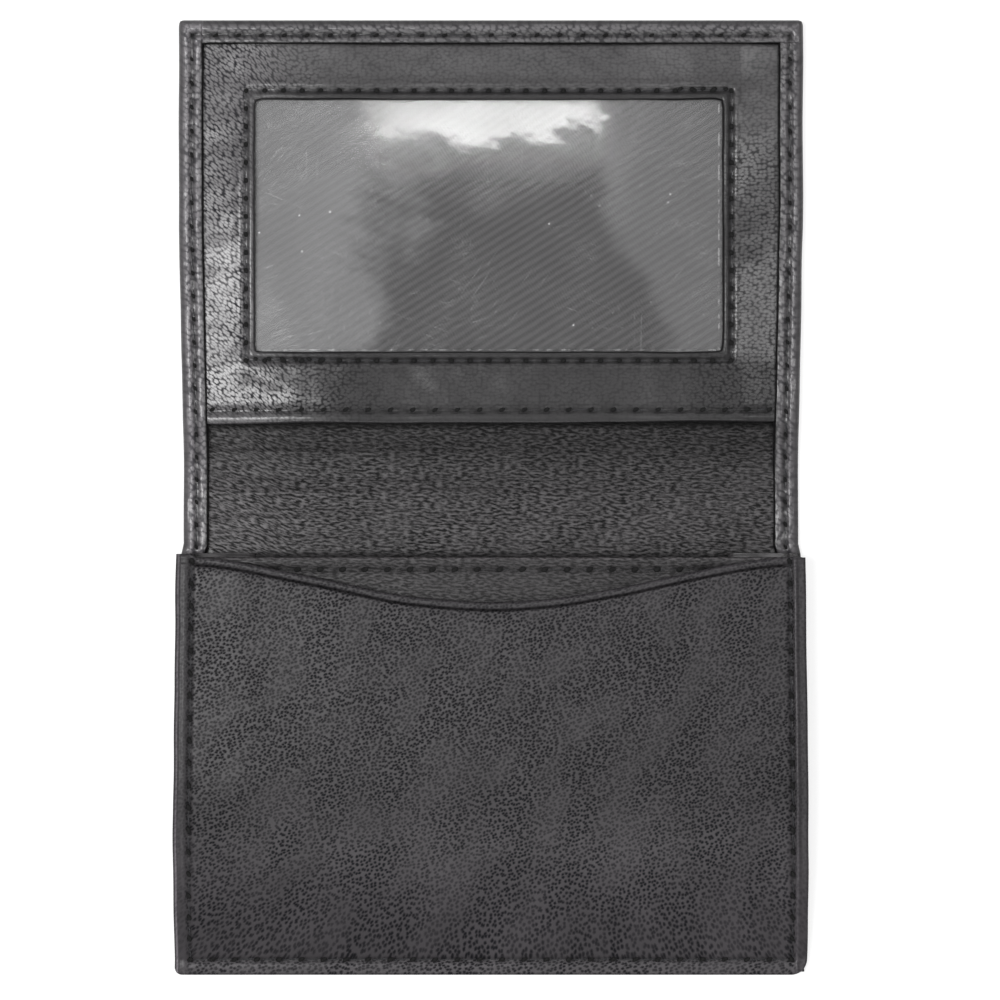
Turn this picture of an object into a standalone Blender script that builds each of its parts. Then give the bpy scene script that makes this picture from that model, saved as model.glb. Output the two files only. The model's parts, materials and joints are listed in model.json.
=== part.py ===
"""Folding leather card holder, lying open on its outer face with the inside up.

Metres, +Z up. +X is to the right, +Y runs from the pocket half to the flap.
The origin is on the table, under the middle of the open case.
"""

import bmesh
import bpy
import math

# Lengths along Y, from the pocket's bottom edge to the flap's free edge
BACK_LENGTH = 0.0711
FOLD_LENGTH = 0.0180
FLAP_LENGTH = 0.0684

# Widths along X
FLAP_WIDTH = 0.1030
FOLD_WIDTH = 0.1016
MOUTH_WIDTH = 0.1026
BASE_WIDTH = 0.1044
HEM_WIDTH = 0.0040

# Thickness of each material
SHELL = 0.0008
HEM = 0.0007
BOARD = 0.0005
LINING = 0.0005
TWILL = 0.0003
FILM = 0.0002
PANEL = 0.0007
FRONT = 0.0008
GUSSET = 0.0005

# Clearances
GAP = 0.0003
SPLIT = 0.0003
EDGE_INSET = 0.0004

# Window panel and its opening
PANEL_FROM_FOLD = 0.0023
WINDOW_WIDTH = 0.0772
WINDOW_HEIGHT = 0.0419
WINDOW_FROM_TOP = 0.0128
WINDOW_SHIFT = -0.0005
FILM_MARGIN = 0.0050

# Pocket
POCKET_DEPTH = 0.0690
POCKET_CLEAR = 0.0045
SLIP_CLEAR = 0.0008
SCOOP_DEPTH = 0.0073
SCOOP_WIDTH = 0.0980
SEAM_INSET = 0.0026
BELLY_RUN = 0.0340
BELLY_POWER = 2.4

# Linings
FACING_IN_POCKET = 0.0130
FACING_UNDER_PANEL = 0.0080
LINING_INSET = 0.0052
STEP_START = 0.0014
STEP_RUN = 0.0010
FOLD_RELIEF = 0.0018

# Gussets
GUSSET_ABOVE_DIVIDER = 0.0006
GUSSET_FLANGE = 0.0022
PLEAT_DEPTH = 0.0122
PLEAT_FADE = 0.0094
WEB_HALF = 0.00045

# Corner radii
FLAP_CORNER = 0.0010
BASE_CORNER_LEFT = 0.0013
BASE_CORNER_RIGHT = 0.0027
WINDOW_CORNER = 0.0008
SHEET_CORNER = 0.0006
EDGE_ROLL = 0.00032
SHELL_ROLL = 0.00070

# Places along Y
OPEN_LENGTH = BACK_LENGTH + FOLD_LENGTH + FLAP_LENGTH
BOTTOM_Y = -OPEN_LENGTH / 2
NEAR_FOLD_Y = BOTTOM_Y + BACK_LENGTH
FAR_FOLD_Y = NEAR_FOLD_Y + FOLD_LENGTH
TOP_Y = OPEN_LENGTH / 2
SEAM_Y = BOTTOM_Y + SEAM_INSET
MOUTH_Y = BOTTOM_Y + POCKET_DEPTH
PANEL_Y = FAR_FOLD_Y + PANEL_FROM_FOLD

# Levels along Z, stacked from the table up
BOARD_Z = SHELL + GAP
FOLD_AXIS_Z = BOARD_Z + LINING
INNER_Z = BOARD_Z + BOARD + GAP
FILM_Z = INNER_Z + LINING + GAP
PANEL_Z = FILM_Z + FILM + GAP
FLAP_HEM_Z = PANEL_Z + PANEL + GAP
FOLD_HEM_Z = FOLD_AXIS_Z + GAP
BACK_TOP_Z = INNER_Z + LINING
DIVIDER_LOW = BOARD_Z
DIVIDER_HIGH = BACK_TOP_Z + POCKET_CLEAR + TWILL + GAP
FRONT_LOW = DIVIDER_LOW + PANEL + GAP
FRONT_HIGH = DIVIDER_HIGH + PANEL + SLIP_CLEAR + TWILL + GAP

CUT_STEP = 0.0045


def clear_scene():
    """Take every object out of the scene."""
    for old in list(bpy.data.objects):
        bpy.data.objects.remove(old, do_unlink=True)


def new_collection(name):
    """Make a collection in the scene."""
    group = bpy.data.collections.new(name)
    bpy.context.scene.collection.children.link(group)
    return group


def leather(name, colour, roughness, metallic=0.0):
    """Make a Principled material of one colour."""
    material = bpy.data.materials.new(name)
    material.use_nodes = True
    shader = material.node_tree.nodes["Principled BSDF"]
    shader.inputs["Base Color"].default_value = (*colour, 1.0)
    shader.inputs["Roughness"].default_value = roughness
    shader.inputs["Metallic"].default_value = metallic
    return material


def half_width(y):
    """Half the width of the shell at y: wide at the pocket's base, drawn in at the fold."""
    places = [
        (BOTTOM_Y, BASE_WIDTH / 2),
        (MOUTH_Y, MOUTH_WIDTH / 2),
        (NEAR_FOLD_Y, FOLD_WIDTH / 2),
        (FAR_FOLD_Y, FOLD_WIDTH / 2),
        (TOP_Y - FLAP_LENGTH / 2, FLAP_WIDTH / 2),
        (TOP_Y, FLAP_WIDTH / 2),
    ]
    if y <= places[0][0]:
        return places[0][1]
    for (y_low, w_low), (y_high, w_high) in zip(places, places[1:]):
        if y <= y_high:
            share = (y - y_low) / (y_high - y_low)
            return w_low + (w_high - w_low) * share
    return places[-1][1]


def side_places(y_low, y_high):
    """The y values between which a side edge is straight."""
    marks = [MOUTH_Y, NEAR_FOLD_Y, FAR_FOLD_Y, TOP_Y - FLAP_LENGTH / 2]
    inside = [y for y in marks if y_low + GAP < y < y_high - GAP]
    return [y_low, *inside, y_high]


def arc(corner_x, corner_y, radius, turn, steps=4):
    """Points of a rounded corner; turn is the quarter that the arc starts in."""
    signs = {0: (-1, -1), 1: (1, -1), 2: (1, 1), 3: (-1, 1)}
    sign_x, sign_y = signs[turn]
    centre_x = corner_x + sign_x * radius
    centre_y = corner_y + sign_y * radius
    points = []
    for step in range(steps + 1):
        angle = math.pi / 2 * (turn + step / steps)
        points.append((centre_x + radius * math.cos(angle), centre_y + radius * math.sin(angle)))
    return points


def outline(y_low, y_high, inset, radii):
    """Outline of a layer that follows the shell's sides, set in from them.

    radii are the corners' radii: upper right, upper left, lower left, lower right.
    """
    sides = side_places(y_low, y_high)
    points = []
    points += arc(half_width(y_high) - inset, y_high, radii[0], 0)
    points += arc(-half_width(y_high) + inset, y_high, radii[1], 1)
    points += [(-half_width(y) + inset, y) for y in reversed(sides[1:-1])]
    points += arc(-half_width(y_low) + inset, y_low, radii[2], 2)
    points += arc(half_width(y_low) - inset, y_low, radii[3], 3)
    points += [(half_width(y) - inset, y) for y in sides[1:-1]]
    return points


def rectangle(x_low, x_high, y_low, y_high, radius):
    """Outline of a rectangle with rounded corners."""
    points = []
    points += arc(x_high, y_high, radius, 0)
    points += arc(x_low, y_high, radius, 1)
    points += arc(x_low, y_low, radius, 2)
    points += arc(x_high, y_low, radius, 3)
    return points


def filled_curve(name, outlines, thickness):
    """A flat curve, filled on both sides and thickened about z = 0."""
    curve = bpy.data.curves.new(name, "CURVE")
    curve.dimensions = "2D"
    curve.fill_mode = "BOTH"
    curve.extrude = thickness / 2
    for points in outlines:
        spline = curve.splines.new("POLY")
        spline.points.add(len(points) - 1)
        for spot, (x, y) in zip(spline.points, points):
            spot.co = (x, y, 0.0, 1.0)
        spline.use_cyclic_u = True
    return curve


def solid_from_outlines(name, outlines, thickness, group, under, step=None):
    """A sheet of even thickness, its underside at the level that under(x, y) gives.

    A sheet that isn't flat is cut across at every step, so that it can bend there.
    """
    curve = filled_curve(name + "_outline", outlines, thickness)
    guide = bpy.data.objects.new(name + "_outline", curve)
    group.objects.link(guide)
    bpy.context.view_layer.update()
    shape = guide.evaluated_get(bpy.context.evaluated_depsgraph_get())
    mesh = bpy.data.meshes.new_from_object(shape)
    mesh.name = name
    bpy.data.objects.remove(guide, do_unlink=True)
    bpy.data.curves.remove(curve)

    work = bmesh.new()
    work.from_mesh(mesh)
    bmesh.ops.remove_doubles(work, verts=work.verts, dist=0.00001)
    if step is not None:
        low = min(v.co.y for v in work.verts)
        high = max(v.co.y for v in work.verts)
        count = max(2, math.ceil((high - low) / step))
        for index in range(1, count):
            geometry = work.verts[:] + work.edges[:] + work.faces[:]
            place = low + (high - low) * index / count
            bmesh.ops.bisect_plane(
                work, geom=geometry, dist=0.00002, plane_co=(0, place, 0), plane_no=(0, 1, 0)
            )
    for vertex in work.verts:
        vertex.co.z += thickness / 2 + under(vertex.co.x, vertex.co.y)
    bmesh.ops.recalc_face_normals(work, faces=work.faces)
    work.to_mesh(mesh)
    work.free()
    body = bpy.data.objects.new(name, mesh)
    group.objects.link(body)
    return body


def finish(body, material, roll=0.0):
    """Give a piece its material and, where roll is set, softly rounded edges."""
    body.data.materials.append(material)
    if roll > 0:
        bevel = body.modifiers.new("Rolled edge", "BEVEL")
        bevel.width = roll
        bevel.segments = 2
        bevel.limit_method = "ANGLE"
        bevel.angle_limit = math.radians(50)
    body.data.shade_smooth()
    body.data.set_sharp_from_angle(angle=math.radians(40))


def place_under(body, parent):
    """Hang a piece on its joint's empty without moving it."""
    body.parent = parent
    body.matrix_parent_inverse = parent.matrix_world.inverted()


def joint_empty(name, y, z, group, parent=None):
    """An empty on a fold line, along which the pieces beyond it turn."""
    empty = bpy.data.objects.new(name, None)
    empty.empty_display_type = "SINGLE_ARROW"
    empty.empty_display_size = 0.01
    empty.location = (0, y, z)
    group.objects.link(empty)
    bpy.context.view_layer.update()
    if parent is not None:
        place_under(empty, parent)
        bpy.context.view_layer.update()
    return empty


def cut(body, cutter):
    """Take a cutter's shape out of a piece."""
    cutter.hide_render = True
    cutter.display_type = "WIRE"
    hole = body.modifiers.new("Cut " + cutter.name, "BOOLEAN")
    hole.operation = "DIFFERENCE"
    hole.solver = "EXACT"
    hole.object = cutter


def flat(level):
    """An underside that lies level."""
    return lambda x, y: level


def belly(y, low, high):
    """Height of a pocket panel: flat at the sewn bottom, then swelling up to the mouth."""
    share = min(1.0, max(0.0, (y - SEAM_Y) / BELLY_RUN))
    return low + (high - low) * (1 - (1 - share) ** BELLY_POWER)


def divider_under(x, y):
    """Underside of the divider's leather."""
    return belly(y, DIVIDER_LOW, DIVIDER_HIGH)


def front_under(x, y):
    """Underside of the front panel's leather."""
    return belly(y, FRONT_LOW, FRONT_HIGH)


def scoop(x, top_y):
    """Top edge of the front panel: a shallow rounded V, deepest in the middle."""
    share = min(1.0, abs(x) / (SCOOP_WIDTH / 2))
    return top_y - SCOOP_DEPTH * ((1 + math.cos(math.pi * share)) / 2) ** 0.8


def scooped_outline(y_low, top_y, inset, radii, steps=28):
    """Outline of a pocket panel whose top edge dips in the middle."""
    corner = 0.0005
    reach = half_width(top_y) - inset
    points = arc(reach, top_y, corner, 0)
    for index in range(steps + 1):
        x = SCOOP_WIDTH / 2 * (1 - 2 * index / steps)
        points.append((x, scoop(x, top_y)))
    points += arc(-reach, top_y, corner, 1)
    points += arc(-half_width(y_low) + inset, y_low, radii[0], 2)
    points += arc(half_width(y_low) - inset, y_low, radii[1], 3)
    return points


def make_shell(parts, cutters, material, folds):
    """Outer leather: back, fold strip and flap, with the hem turned over the last two."""
    base_radii = [SPLIT, SPLIT, BASE_CORNER_LEFT, BASE_CORNER_RIGHT]
    back_end = NEAR_FOLD_Y - SPLIT / 2
    back = solid_from_outlines(
        "shell_back", [outline(BOTTOM_Y, back_end, 0, base_radii)], SHELL, parts, flat(0)
    )
    finish(back, material, EDGE_ROLL)

    fold_low = NEAR_FOLD_Y + SPLIT / 2
    fold_high = FAR_FOLD_Y - SPLIT / 2
    shell_fold = hemmed_shell(
        "shell_fold", fold_low, fold_high, FOLD_HEM_Z, False, parts, cutters, material
    )
    place_under(shell_fold, folds[0])

    flap_low = FAR_FOLD_Y + SPLIT / 2
    shell_flap = hemmed_shell(
        "shell_flap", flap_low, TOP_Y, FLAP_HEM_Z, True, parts, cutters, material
    )
    place_under(shell_flap, folds[1])


def hemmed_shell(name, y_low, y_high, hem_z, closed_end, parts, cutters, material):
    """A length of shell whose sides turn up and over as a hem.

    With a closed end the far end is hemmed too, and the hem starts a little way from
    the fold, so that it clears the fold strip's own hem when the flap turns over.
    """
    height = hem_z + HEM
    end_radius = FLAP_CORNER if closed_end else SPLIT / 2
    radii = [end_radius, end_radius, SPLIT / 2, SPLIT / 2]
    shell = solid_from_outlines(
        name, [outline(y_low, y_high, 0, radii)], height, parts, flat(0)
    )
    finish(shell, material, SHELL_ROLL)

    past_low = y_low - SPLIT
    hollow_high = y_high - SHELL if closed_end else y_high + SPLIT
    hollow = solid_from_outlines(
        name + "_hollow",
        [outline(past_low, hollow_high, SHELL, [SPLIT / 2] * 4)],
        hem_z - SHELL,
        cutters,
        flat(SHELL),
    )
    cut(shell, hollow)
    mouth_high = y_high - HEM_WIDTH if closed_end else y_high + SPLIT
    mouth = solid_from_outlines(
        name + "_mouth",
        [outline(past_low, mouth_high, HEM_WIDTH, [SPLIT / 2] * 4)],
        HEM + 2 * GAP,
        cutters,
        flat(hem_z - GAP),
    )
    cut(shell, mouth)
    if closed_end:
        relief = solid_from_outlines(
            name + "_relief",
            [outline(past_low, y_low + FOLD_RELIEF, -EDGE_INSET, [SPLIT / 2] * 4)],
            height,
            cutters,
            flat(FOLD_AXIS_Z),
        )
        cut(shell, relief)
    return shell


def stepped_under(y_step, direction):
    """Underside of a lining that lies on the shell at the fold and climbs onto the board."""

    def level(x, y):
        share = (y - y_step) * direction / STEP_RUN
        share = min(1.0, max(0.0, share))
        return BOARD_Z + (INNER_Z - BOARD_Z) * share

    return level


def make_linings(parts, leather_mat, twill_mat, folds):
    """Inner leather from the pocket to the flap, and the black twill beyond it."""
    near = NEAR_FOLD_Y - SPLIT / 2
    facing_low = NEAR_FOLD_Y - FACING_IN_POCKET
    back = solid_from_outlines(
        "lining_back",
        [outline(facing_low, near, LINING_INSET, [SPLIT] * 4)],
        LINING,
        parts,
        stepped_under(NEAR_FOLD_Y - STEP_START, -1),
        STEP_RUN / 2,
    )
    finish(back, leather_mat)

    fold = solid_from_outlines(
        "lining_fold",
        [outline(NEAR_FOLD_Y + SPLIT / 2, FAR_FOLD_Y - SPLIT / 2, SHELL + GAP, [SPLIT / 2] * 4)],
        LINING,
        parts,
        flat(BOARD_Z),
    )
    finish(fold, leather_mat)
    place_under(fold, folds[0])

    facing_high = PANEL_Y + FACING_UNDER_PANEL
    flap = solid_from_outlines(
        "lining_flap",
        [outline(FAR_FOLD_Y + SPLIT / 2, facing_high, SHELL + GAP, [SPLIT] * 4)],
        LINING,
        parts,
        stepped_under(FAR_FOLD_Y + STEP_START, 1),
        STEP_RUN / 2,
    )
    finish(flap, leather_mat)
    place_under(flap, folds[1])

    back_twill = solid_from_outlines(
        "back_twill",
        [outline(SEAM_Y + SEAM_INSET, facing_low - GAP, LINING_INSET, [SPLIT] * 4)],
        TWILL,
        parts,
        flat(INNER_Z),
    )
    finish(back_twill, twill_mat)

    flap_twill = solid_from_outlines(
        "flap_twill",
        [outline(facing_high + GAP, TOP_Y - SHELL - GAP, SHELL + GAP, [SPLIT] * 4)],
        TWILL,
        parts,
        flat(INNER_Z),
    )
    finish(flap_twill, twill_mat)
    place_under(flap_twill, folds[1])


def make_boards(parts, material, folds):
    """Stiffening boards inside the back and inside the flap."""
    step_end = STEP_START + STEP_RUN + GAP
    back = solid_from_outlines(
        "back_board",
        [outline(SEAM_Y + SEAM_INSET, NEAR_FOLD_Y - step_end, LINING_INSET, [SHEET_CORNER] * 4)],
        BOARD,
        parts,
        flat(BOARD_Z),
    )
    finish(back, material)
    flap = solid_from_outlines(
        "flap_board",
        [outline(FAR_FOLD_Y + step_end, TOP_Y - SHELL - GAP, SHELL + GAP, [SHEET_CORNER] * 4)],
        BOARD,
        parts,
        flat(BOARD_Z),
    )
    finish(flap, material)
    place_under(flap, folds[1])


def make_window(parts, leather_mat, film_mat, folds):
    """The leather frame of the identity window and the clear film behind it."""
    x_low = WINDOW_SHIFT - WINDOW_WIDTH / 2
    x_high = WINDOW_SHIFT + WINDOW_WIDTH / 2
    y_high = TOP_Y - WINDOW_FROM_TOP
    y_low = y_high - WINDOW_HEIGHT
    edge = SHELL + GAP
    panel = solid_from_outlines(
        "window_panel",
        [
            outline(PANEL_Y, TOP_Y - edge, edge, [SHEET_CORNER] * 4),
            rectangle(x_low, x_high, y_low, y_high, WINDOW_CORNER),
        ],
        PANEL,
        parts,
        flat(PANEL_Z),
    )
    finish(panel, leather_mat, EDGE_ROLL)
    place_under(panel, folds[1])

    film = solid_from_outlines(
        "window_film",
        [
            rectangle(
                x_low - FILM_MARGIN,
                x_high + FILM_MARGIN,
                y_low - FILM_MARGIN,
                y_high + FILM_MARGIN,
                SHEET_CORNER,
            )
        ],
        FILM,
        parts,
        flat(FILM_Z),
    )
    finish(film, film_mat)
    place_under(film, folds[1])


def make_pocket(parts, leather_mat, twill_mat, hinge):
    """Divider with its straight top, the scooped front over it, and their twill."""
    base_radii = [BASE_CORNER_LEFT, BASE_CORNER_RIGHT]
    divider = solid_from_outlines(
        "divider_panel",
        [
            outline(
                BOTTOM_Y + EDGE_INSET, MOUTH_Y, EDGE_INSET, [SHEET_CORNER, SHEET_CORNER, *base_radii]
            )
        ],
        PANEL,
        parts,
        divider_under,
        CUT_STEP,
    )
    finish(divider, leather_mat, EDGE_ROLL)
    front = solid_from_outlines(
        "front_panel",
        [scooped_outline(BOTTOM_Y, MOUTH_Y, 0, base_radii)],
        FRONT,
        parts,
        front_under,
        CUT_STEP,
    )
    finish(front, leather_mat, EDGE_ROLL)

    twill_drop = TWILL + GAP
    divider_twill_low = SEAM_Y + BELLY_RUN / 4
    divider_twill = solid_from_outlines(
        "divider_twill",
        [outline(divider_twill_low, MOUTH_Y - 4 * GAP, LINING_INSET, [SPLIT] * 4)],
        TWILL,
        parts,
        lambda x, y: divider_under(x, y) - twill_drop,
        CUT_STEP,
    )
    finish(divider_twill, twill_mat)
    front_twill_low = SEAM_Y + BELLY_RUN / 3
    front_twill = solid_from_outlines(
        "front_twill",
        [scooped_outline(front_twill_low, MOUTH_Y - 5 * GAP, LINING_INSET / 2, [SPLIT] * 2)],
        TWILL,
        parts,
        lambda x, y: front_under(x, y) - twill_drop,
        CUT_STEP,
    )
    finish(front_twill, twill_mat)
    for piece in (divider, front, divider_twill, front_twill):
        place_under(piece, hinge)


def gusset_section(y):
    """Centre line of the pleated gusset at y, as (distance from the shell's edge, z).

    It runs from the flange on the back, in to the fold and out to the flange on the divider.
    """
    foot_z = BOARD_Z + GUSSET / 2
    head_z = divider_under(0, y) - GAP - GUSSET / 2
    height = head_z - foot_z
    outer = SHELL
    flange = outer + GUSSET_FLANGE
    clear_of_lining = BACK_TOP_Z + GAP + GUSSET / 2
    fade_start = SEAM_Y + BELLY_RUN / 4
    share = min(1.0, max(0.0, (y - fade_start) / PLEAT_FADE))
    pleat = share * share * (3 - 2 * share)
    early = min(1.0, pleat * 10)
    tip = flange + GUSSET + (PLEAT_DEPTH - flange) * pleat
    shoulder = min(flange + 3.6 * GUSSET, tip - GUSSET / 4)
    low_z = foot_z + 0.35 * height
    low_z += (clear_of_lining - low_z) * early
    high_z = head_z - min(0.35 * height, TWILL + GAP)
    middle = (low_z + high_z) / 2
    web = min(WEB_HALF, 0.45 * (high_z - low_z))
    return [
        (outer, foot_z),
        (flange, foot_z),
        (shoulder, low_z),
        (tip, middle - web),
        (tip, middle + web),
        (shoulder, high_z),
        (flange, head_z),
        (outer, head_z),
    ]


def make_gusset(name, side, parts, material):
    """One pleated gusset, a thin skin thickened by Solidify; side is -1 left or 1 right."""
    low = SEAM_Y + BELLY_RUN / 8
    high = MOUTH_Y + GUSSET_ABOVE_DIVIDER
    stations = 18
    work = bmesh.new()
    previous = None
    for index in range(stations + 1):
        y = low + (high - low) * index / stations
        row = []
        for inset, z in gusset_section(y):
            row.append(work.verts.new((side * (half_width(y) - inset), y, z)))
        if previous is None:
            edges = [work.edges.new(pair) for pair in zip(row, row[1:])]
        else:
            edges = []
            for first, second in zip(row, row[1:]):
                edges.append(work.edges.new((first, second)))
            bmesh.ops.bridge_loops(work, edges=previous + edges)
        previous = edges
    bmesh.ops.recalc_face_normals(work, faces=work.faces)
    mesh = bpy.data.meshes.new(name)
    work.to_mesh(mesh)
    work.free()
    body = bpy.data.objects.new(name, mesh)
    parts.objects.link(body)
    wall = body.modifiers.new("Leather", "SOLIDIFY")
    wall.thickness = GUSSET
    wall.offset = 0.0
    finish(body, material)


def build():
    """Make every piece of the case."""
    clear_scene()
    parts = new_collection("card_holder")
    cutters = new_collection("cutters")
    guides = new_collection("fold_lines")

    hide = leather("black leather", (0.050, 0.048, 0.050), 0.46)
    soft_hide = leather("soft black leather", (0.044, 0.041, 0.043), 0.42)
    twill = leather("black twill", (0.030, 0.030, 0.031), 0.85)
    board = leather("grey board", (0.250, 0.240, 0.220), 0.90)
    film = leather("clear film", (0.300, 0.300, 0.300), 0.12)

    spine_fold = joint_empty("spine_fold", NEAR_FOLD_Y, FOLD_AXIS_Z, guides)
    flap_fold = joint_empty("flap_fold", FAR_FOLD_Y, FOLD_AXIS_Z, guides, spine_fold)
    pocket_open = joint_empty("pocket_open", SEAM_Y, DIVIDER_LOW, guides)
    folds = (spine_fold, flap_fold)

    make_shell(parts, cutters, hide, folds)
    make_linings(parts, soft_hide, twill, folds)
    make_boards(parts, board, folds)
    make_window(parts, hide, film, folds)
    make_pocket(parts, hide, twill, pocket_open)
    make_gusset("gusset_left", -1, parts, soft_hide)
    make_gusset("gusset_right", 1, parts, soft_hide)


build()
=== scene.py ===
"""Looks of a folding leather card holder that lies open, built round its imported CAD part.

Shapes are worked out in millimetres and become metres when a piece is finished.
"""

import json
import math

import bmesh
import bpy
from mathutils import Matrix, Vector, noise
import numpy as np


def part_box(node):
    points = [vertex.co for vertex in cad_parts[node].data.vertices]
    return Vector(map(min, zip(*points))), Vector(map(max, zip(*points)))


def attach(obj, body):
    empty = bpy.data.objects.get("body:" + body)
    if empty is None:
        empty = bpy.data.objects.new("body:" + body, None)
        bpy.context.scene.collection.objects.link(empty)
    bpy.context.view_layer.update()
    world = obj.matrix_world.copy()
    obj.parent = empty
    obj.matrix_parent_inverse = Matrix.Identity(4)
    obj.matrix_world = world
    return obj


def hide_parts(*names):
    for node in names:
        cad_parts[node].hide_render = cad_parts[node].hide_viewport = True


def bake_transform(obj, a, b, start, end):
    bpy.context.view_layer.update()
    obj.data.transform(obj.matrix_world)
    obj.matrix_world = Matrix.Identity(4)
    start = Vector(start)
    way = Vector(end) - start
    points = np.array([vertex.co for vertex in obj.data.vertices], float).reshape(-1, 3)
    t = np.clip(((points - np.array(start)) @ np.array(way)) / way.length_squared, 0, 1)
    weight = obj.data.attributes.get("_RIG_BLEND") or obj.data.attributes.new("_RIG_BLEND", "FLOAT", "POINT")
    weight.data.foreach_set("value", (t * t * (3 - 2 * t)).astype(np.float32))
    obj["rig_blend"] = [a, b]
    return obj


bl_info = {
    "name": "Card Holder Looks",
    "version": (1, 0, 0),
    "blender": (4, 5, 0),
    "location": "3D View > Sidebar > Card Holder",
    "description": "Dresses the CAD part of a card holder in leather, thread, twill and clear film",
    "category": "Object",
}

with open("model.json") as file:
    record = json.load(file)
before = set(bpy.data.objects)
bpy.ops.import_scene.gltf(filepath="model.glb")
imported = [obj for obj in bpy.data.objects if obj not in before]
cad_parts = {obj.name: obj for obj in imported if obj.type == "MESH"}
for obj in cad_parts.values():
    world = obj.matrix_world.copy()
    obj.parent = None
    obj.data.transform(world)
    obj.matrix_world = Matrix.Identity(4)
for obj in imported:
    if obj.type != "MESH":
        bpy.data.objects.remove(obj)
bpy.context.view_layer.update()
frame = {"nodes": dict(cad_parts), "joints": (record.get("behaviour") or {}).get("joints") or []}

MM = 0.001


def box_mm(node):
    """Lowest and highest corner of a CAD node, in millimetres."""
    low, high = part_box(node)
    return low / MM, high / MM


BACK = box_mm("shell_back")
STRIP = box_mm("shell_fold")
FLAP = box_mm("shell_flap")
PANEL = box_mm("window_panel")
FILM = box_mm("window_film")
DIVIDER = box_mm("divider_panel")
FRONT = box_mm("front_panel")
LINING_IN_POCKET = box_mm("lining_back")
LINING_ON_STRIP = box_mm("lining_fold")
LINING_IN_FLAP = box_mm("lining_flap")
GUSSET = box_mm("gusset_left")

HINGES = {joint["name"]: [value / MM for value in joint["pos_m"]] for joint in frame["joints"]}
NEAR_FOLD = HINGES["strip_fold"][1]
FAR_FOLD = HINGES["flap_fold"][1]
SEAM_Y = HINGES["pocket_open"][1]
BOTTOM_Y = BACK[0].y
TOP_Y = FLAP[1].y
MOUTH_Y = DIVIDER[1].y
MID_STRIP = (NEAR_FOLD + FAR_FOLD) / 2

# How far each side of a fold line the leather bends
BEND = 2.6

# How far the outer leather is turned over its edge, and the length of a stitch round the window
HEM_WIDTH = 4.15
WINDOW_PITCH = 3.05

# Thickness of the two pocket panels, and where their undersides lie: (at the seam, at the mouth)
DIVIDER_THICKNESS = 0.7
FRONT_THICKNESS = 0.8
DIVIDER_LEVELS = (DIVIDER[0].z, DIVIDER[1].z - DIVIDER_THICKNESS)
FRONT_LEVELS = (FRONT[0].z, FRONT[1].z - FRONT_THICKNESS)


def length(name, description, default):
    """A size that a user may change; default is in millimetres."""
    return bpy.props.FloatProperty(
        name=name, description=description, default=default * MM, min=0.0, unit="LENGTH", precision=5
    )


def colour(name, description, default):
    """A colour that a user may change."""
    return bpy.props.FloatVectorProperty(
        name=name, description=description, default=default, min=0.0, max=1.0, size=3, subtype="COLOR"
    )


def factor(name, description, default, high=1.0):
    """A share or strength that a user may change."""
    return bpy.props.FloatProperty(
        name=name, description=description, default=default, min=0.0, max=high, subtype="FACTOR"
    )


class SewingSizes(bpy.types.PropertyGroup):
    """Widths of hems and places and sizes of seams."""

    hem_width: length("Hem width", "How far the outer leather is turned over the edge", HEM_WIDTH)
    hem_seam: length("Hem seam", "From the edge of the flap to its seam", 2.3)
    hem_pitch: length("Hem stitch", "Length of a stitch round the flap and the strip", 3.75)
    window_margin: length("Film margin", "How far the film reaches behind the window frame", 5.0)
    window_seam: length("Window seam", "From the window's edge to the seam round it", 1.5)
    window_pitch: length("Window stitch", "Length of a stitch round the window", WINDOW_PITCH)
    mouth_seam: length("Card slot seam", "From the edge of the card slot to its seam", 2.05)
    pocket_seam: length("Pocket seam", "From the pocket's edge to its seam", 2.6)
    pocket_pitch: length("Pocket stitch", "Length of a stitch round the pocket", 3.7)
    divider_seam: length("Divider seam", "From the divider's top edge to its seam", 2.0)
    groove_depth: length("Groove depth", "How deep a seam pulls the leather in", 0.30)
    groove_width: length("Groove width", "Half the width of a seam's groove", 0.42)
    thread_radius: length("Thread radius", "Half the thickness of the thread", 0.15)
    scoop_depth: length("Scoop depth", "How far the slip pocket's edge dips in the middle", 7.3)
    scoop_width: length("Scoop width", "Width of the dip in the slip pocket's edge", 98.0)
    lip_width: length("Lip width", "Width of the turned edge along the scoop", 1.3)


class LeatherLooks(bpy.types.PropertyGroup):
    """Colours and grain of the leathers, the cloth and the thread."""

    # Each low colour is partly the grain's own darker hollows and partly painted shade in them
    outer_face: colour("Outer leather", "Raised parts of the outer leather", (0.033, 0.031, 0.033))
    outer_deep: colour("Outer leather, low", "Low parts of the outer leather", (0.004, 0.004, 0.005))
    pocket_face: colour("Pocket leather", "Raised parts of the front panel", (0.029, 0.0265, 0.029))
    pocket_deep: colour("Pocket leather, low", "Low parts of the front panel", (0.003, 0.003, 0.004))
    lining_face: colour("Lining leather", "Raised parts of the thin lining", (0.044, 0.041, 0.043))
    lining_deep: colour("Lining leather, low", "Low parts of the thin lining", (0.003, 0.003, 0.003))
    thread: colour("Thread", "Colour of the sewing thread", (0.009, 0.009, 0.010))
    twill: colour("Twill", "Raised ribs of the twill", (0.078, 0.075, 0.077))
    # The film's colour: that of its light haze, and of the painted reflections that show it most
    film_haze_and_reflection: colour("Film haze", "Colour of the worn film", (0.45, 0.45, 0.455))


class StudioLooks(bpy.types.PropertyGroup):
    """Camera and lamps."""

    camera_height: length("Camera height", "Height of the camera over the table", 624.0)
    focal: factor("Focal length", "Focal length of the camera in millimetres", 135.6, 400.0)
    overhead: factor("Overhead lamp", "Strength of the large lamp overhead, in watts", 1.0, 100.0)
    side: factor("Side lamps", "Strength of the left lamp, in watts", 5.0, 100.0)
    window: factor("Window lamp", "Strength of the lamp that the film reflects, in watts", 0.08, 10.0)


def sewing(name):
    """A sewing size in millimetres."""
    return getattr(bpy.context.scene.holder_sewing, name) / MM


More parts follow.
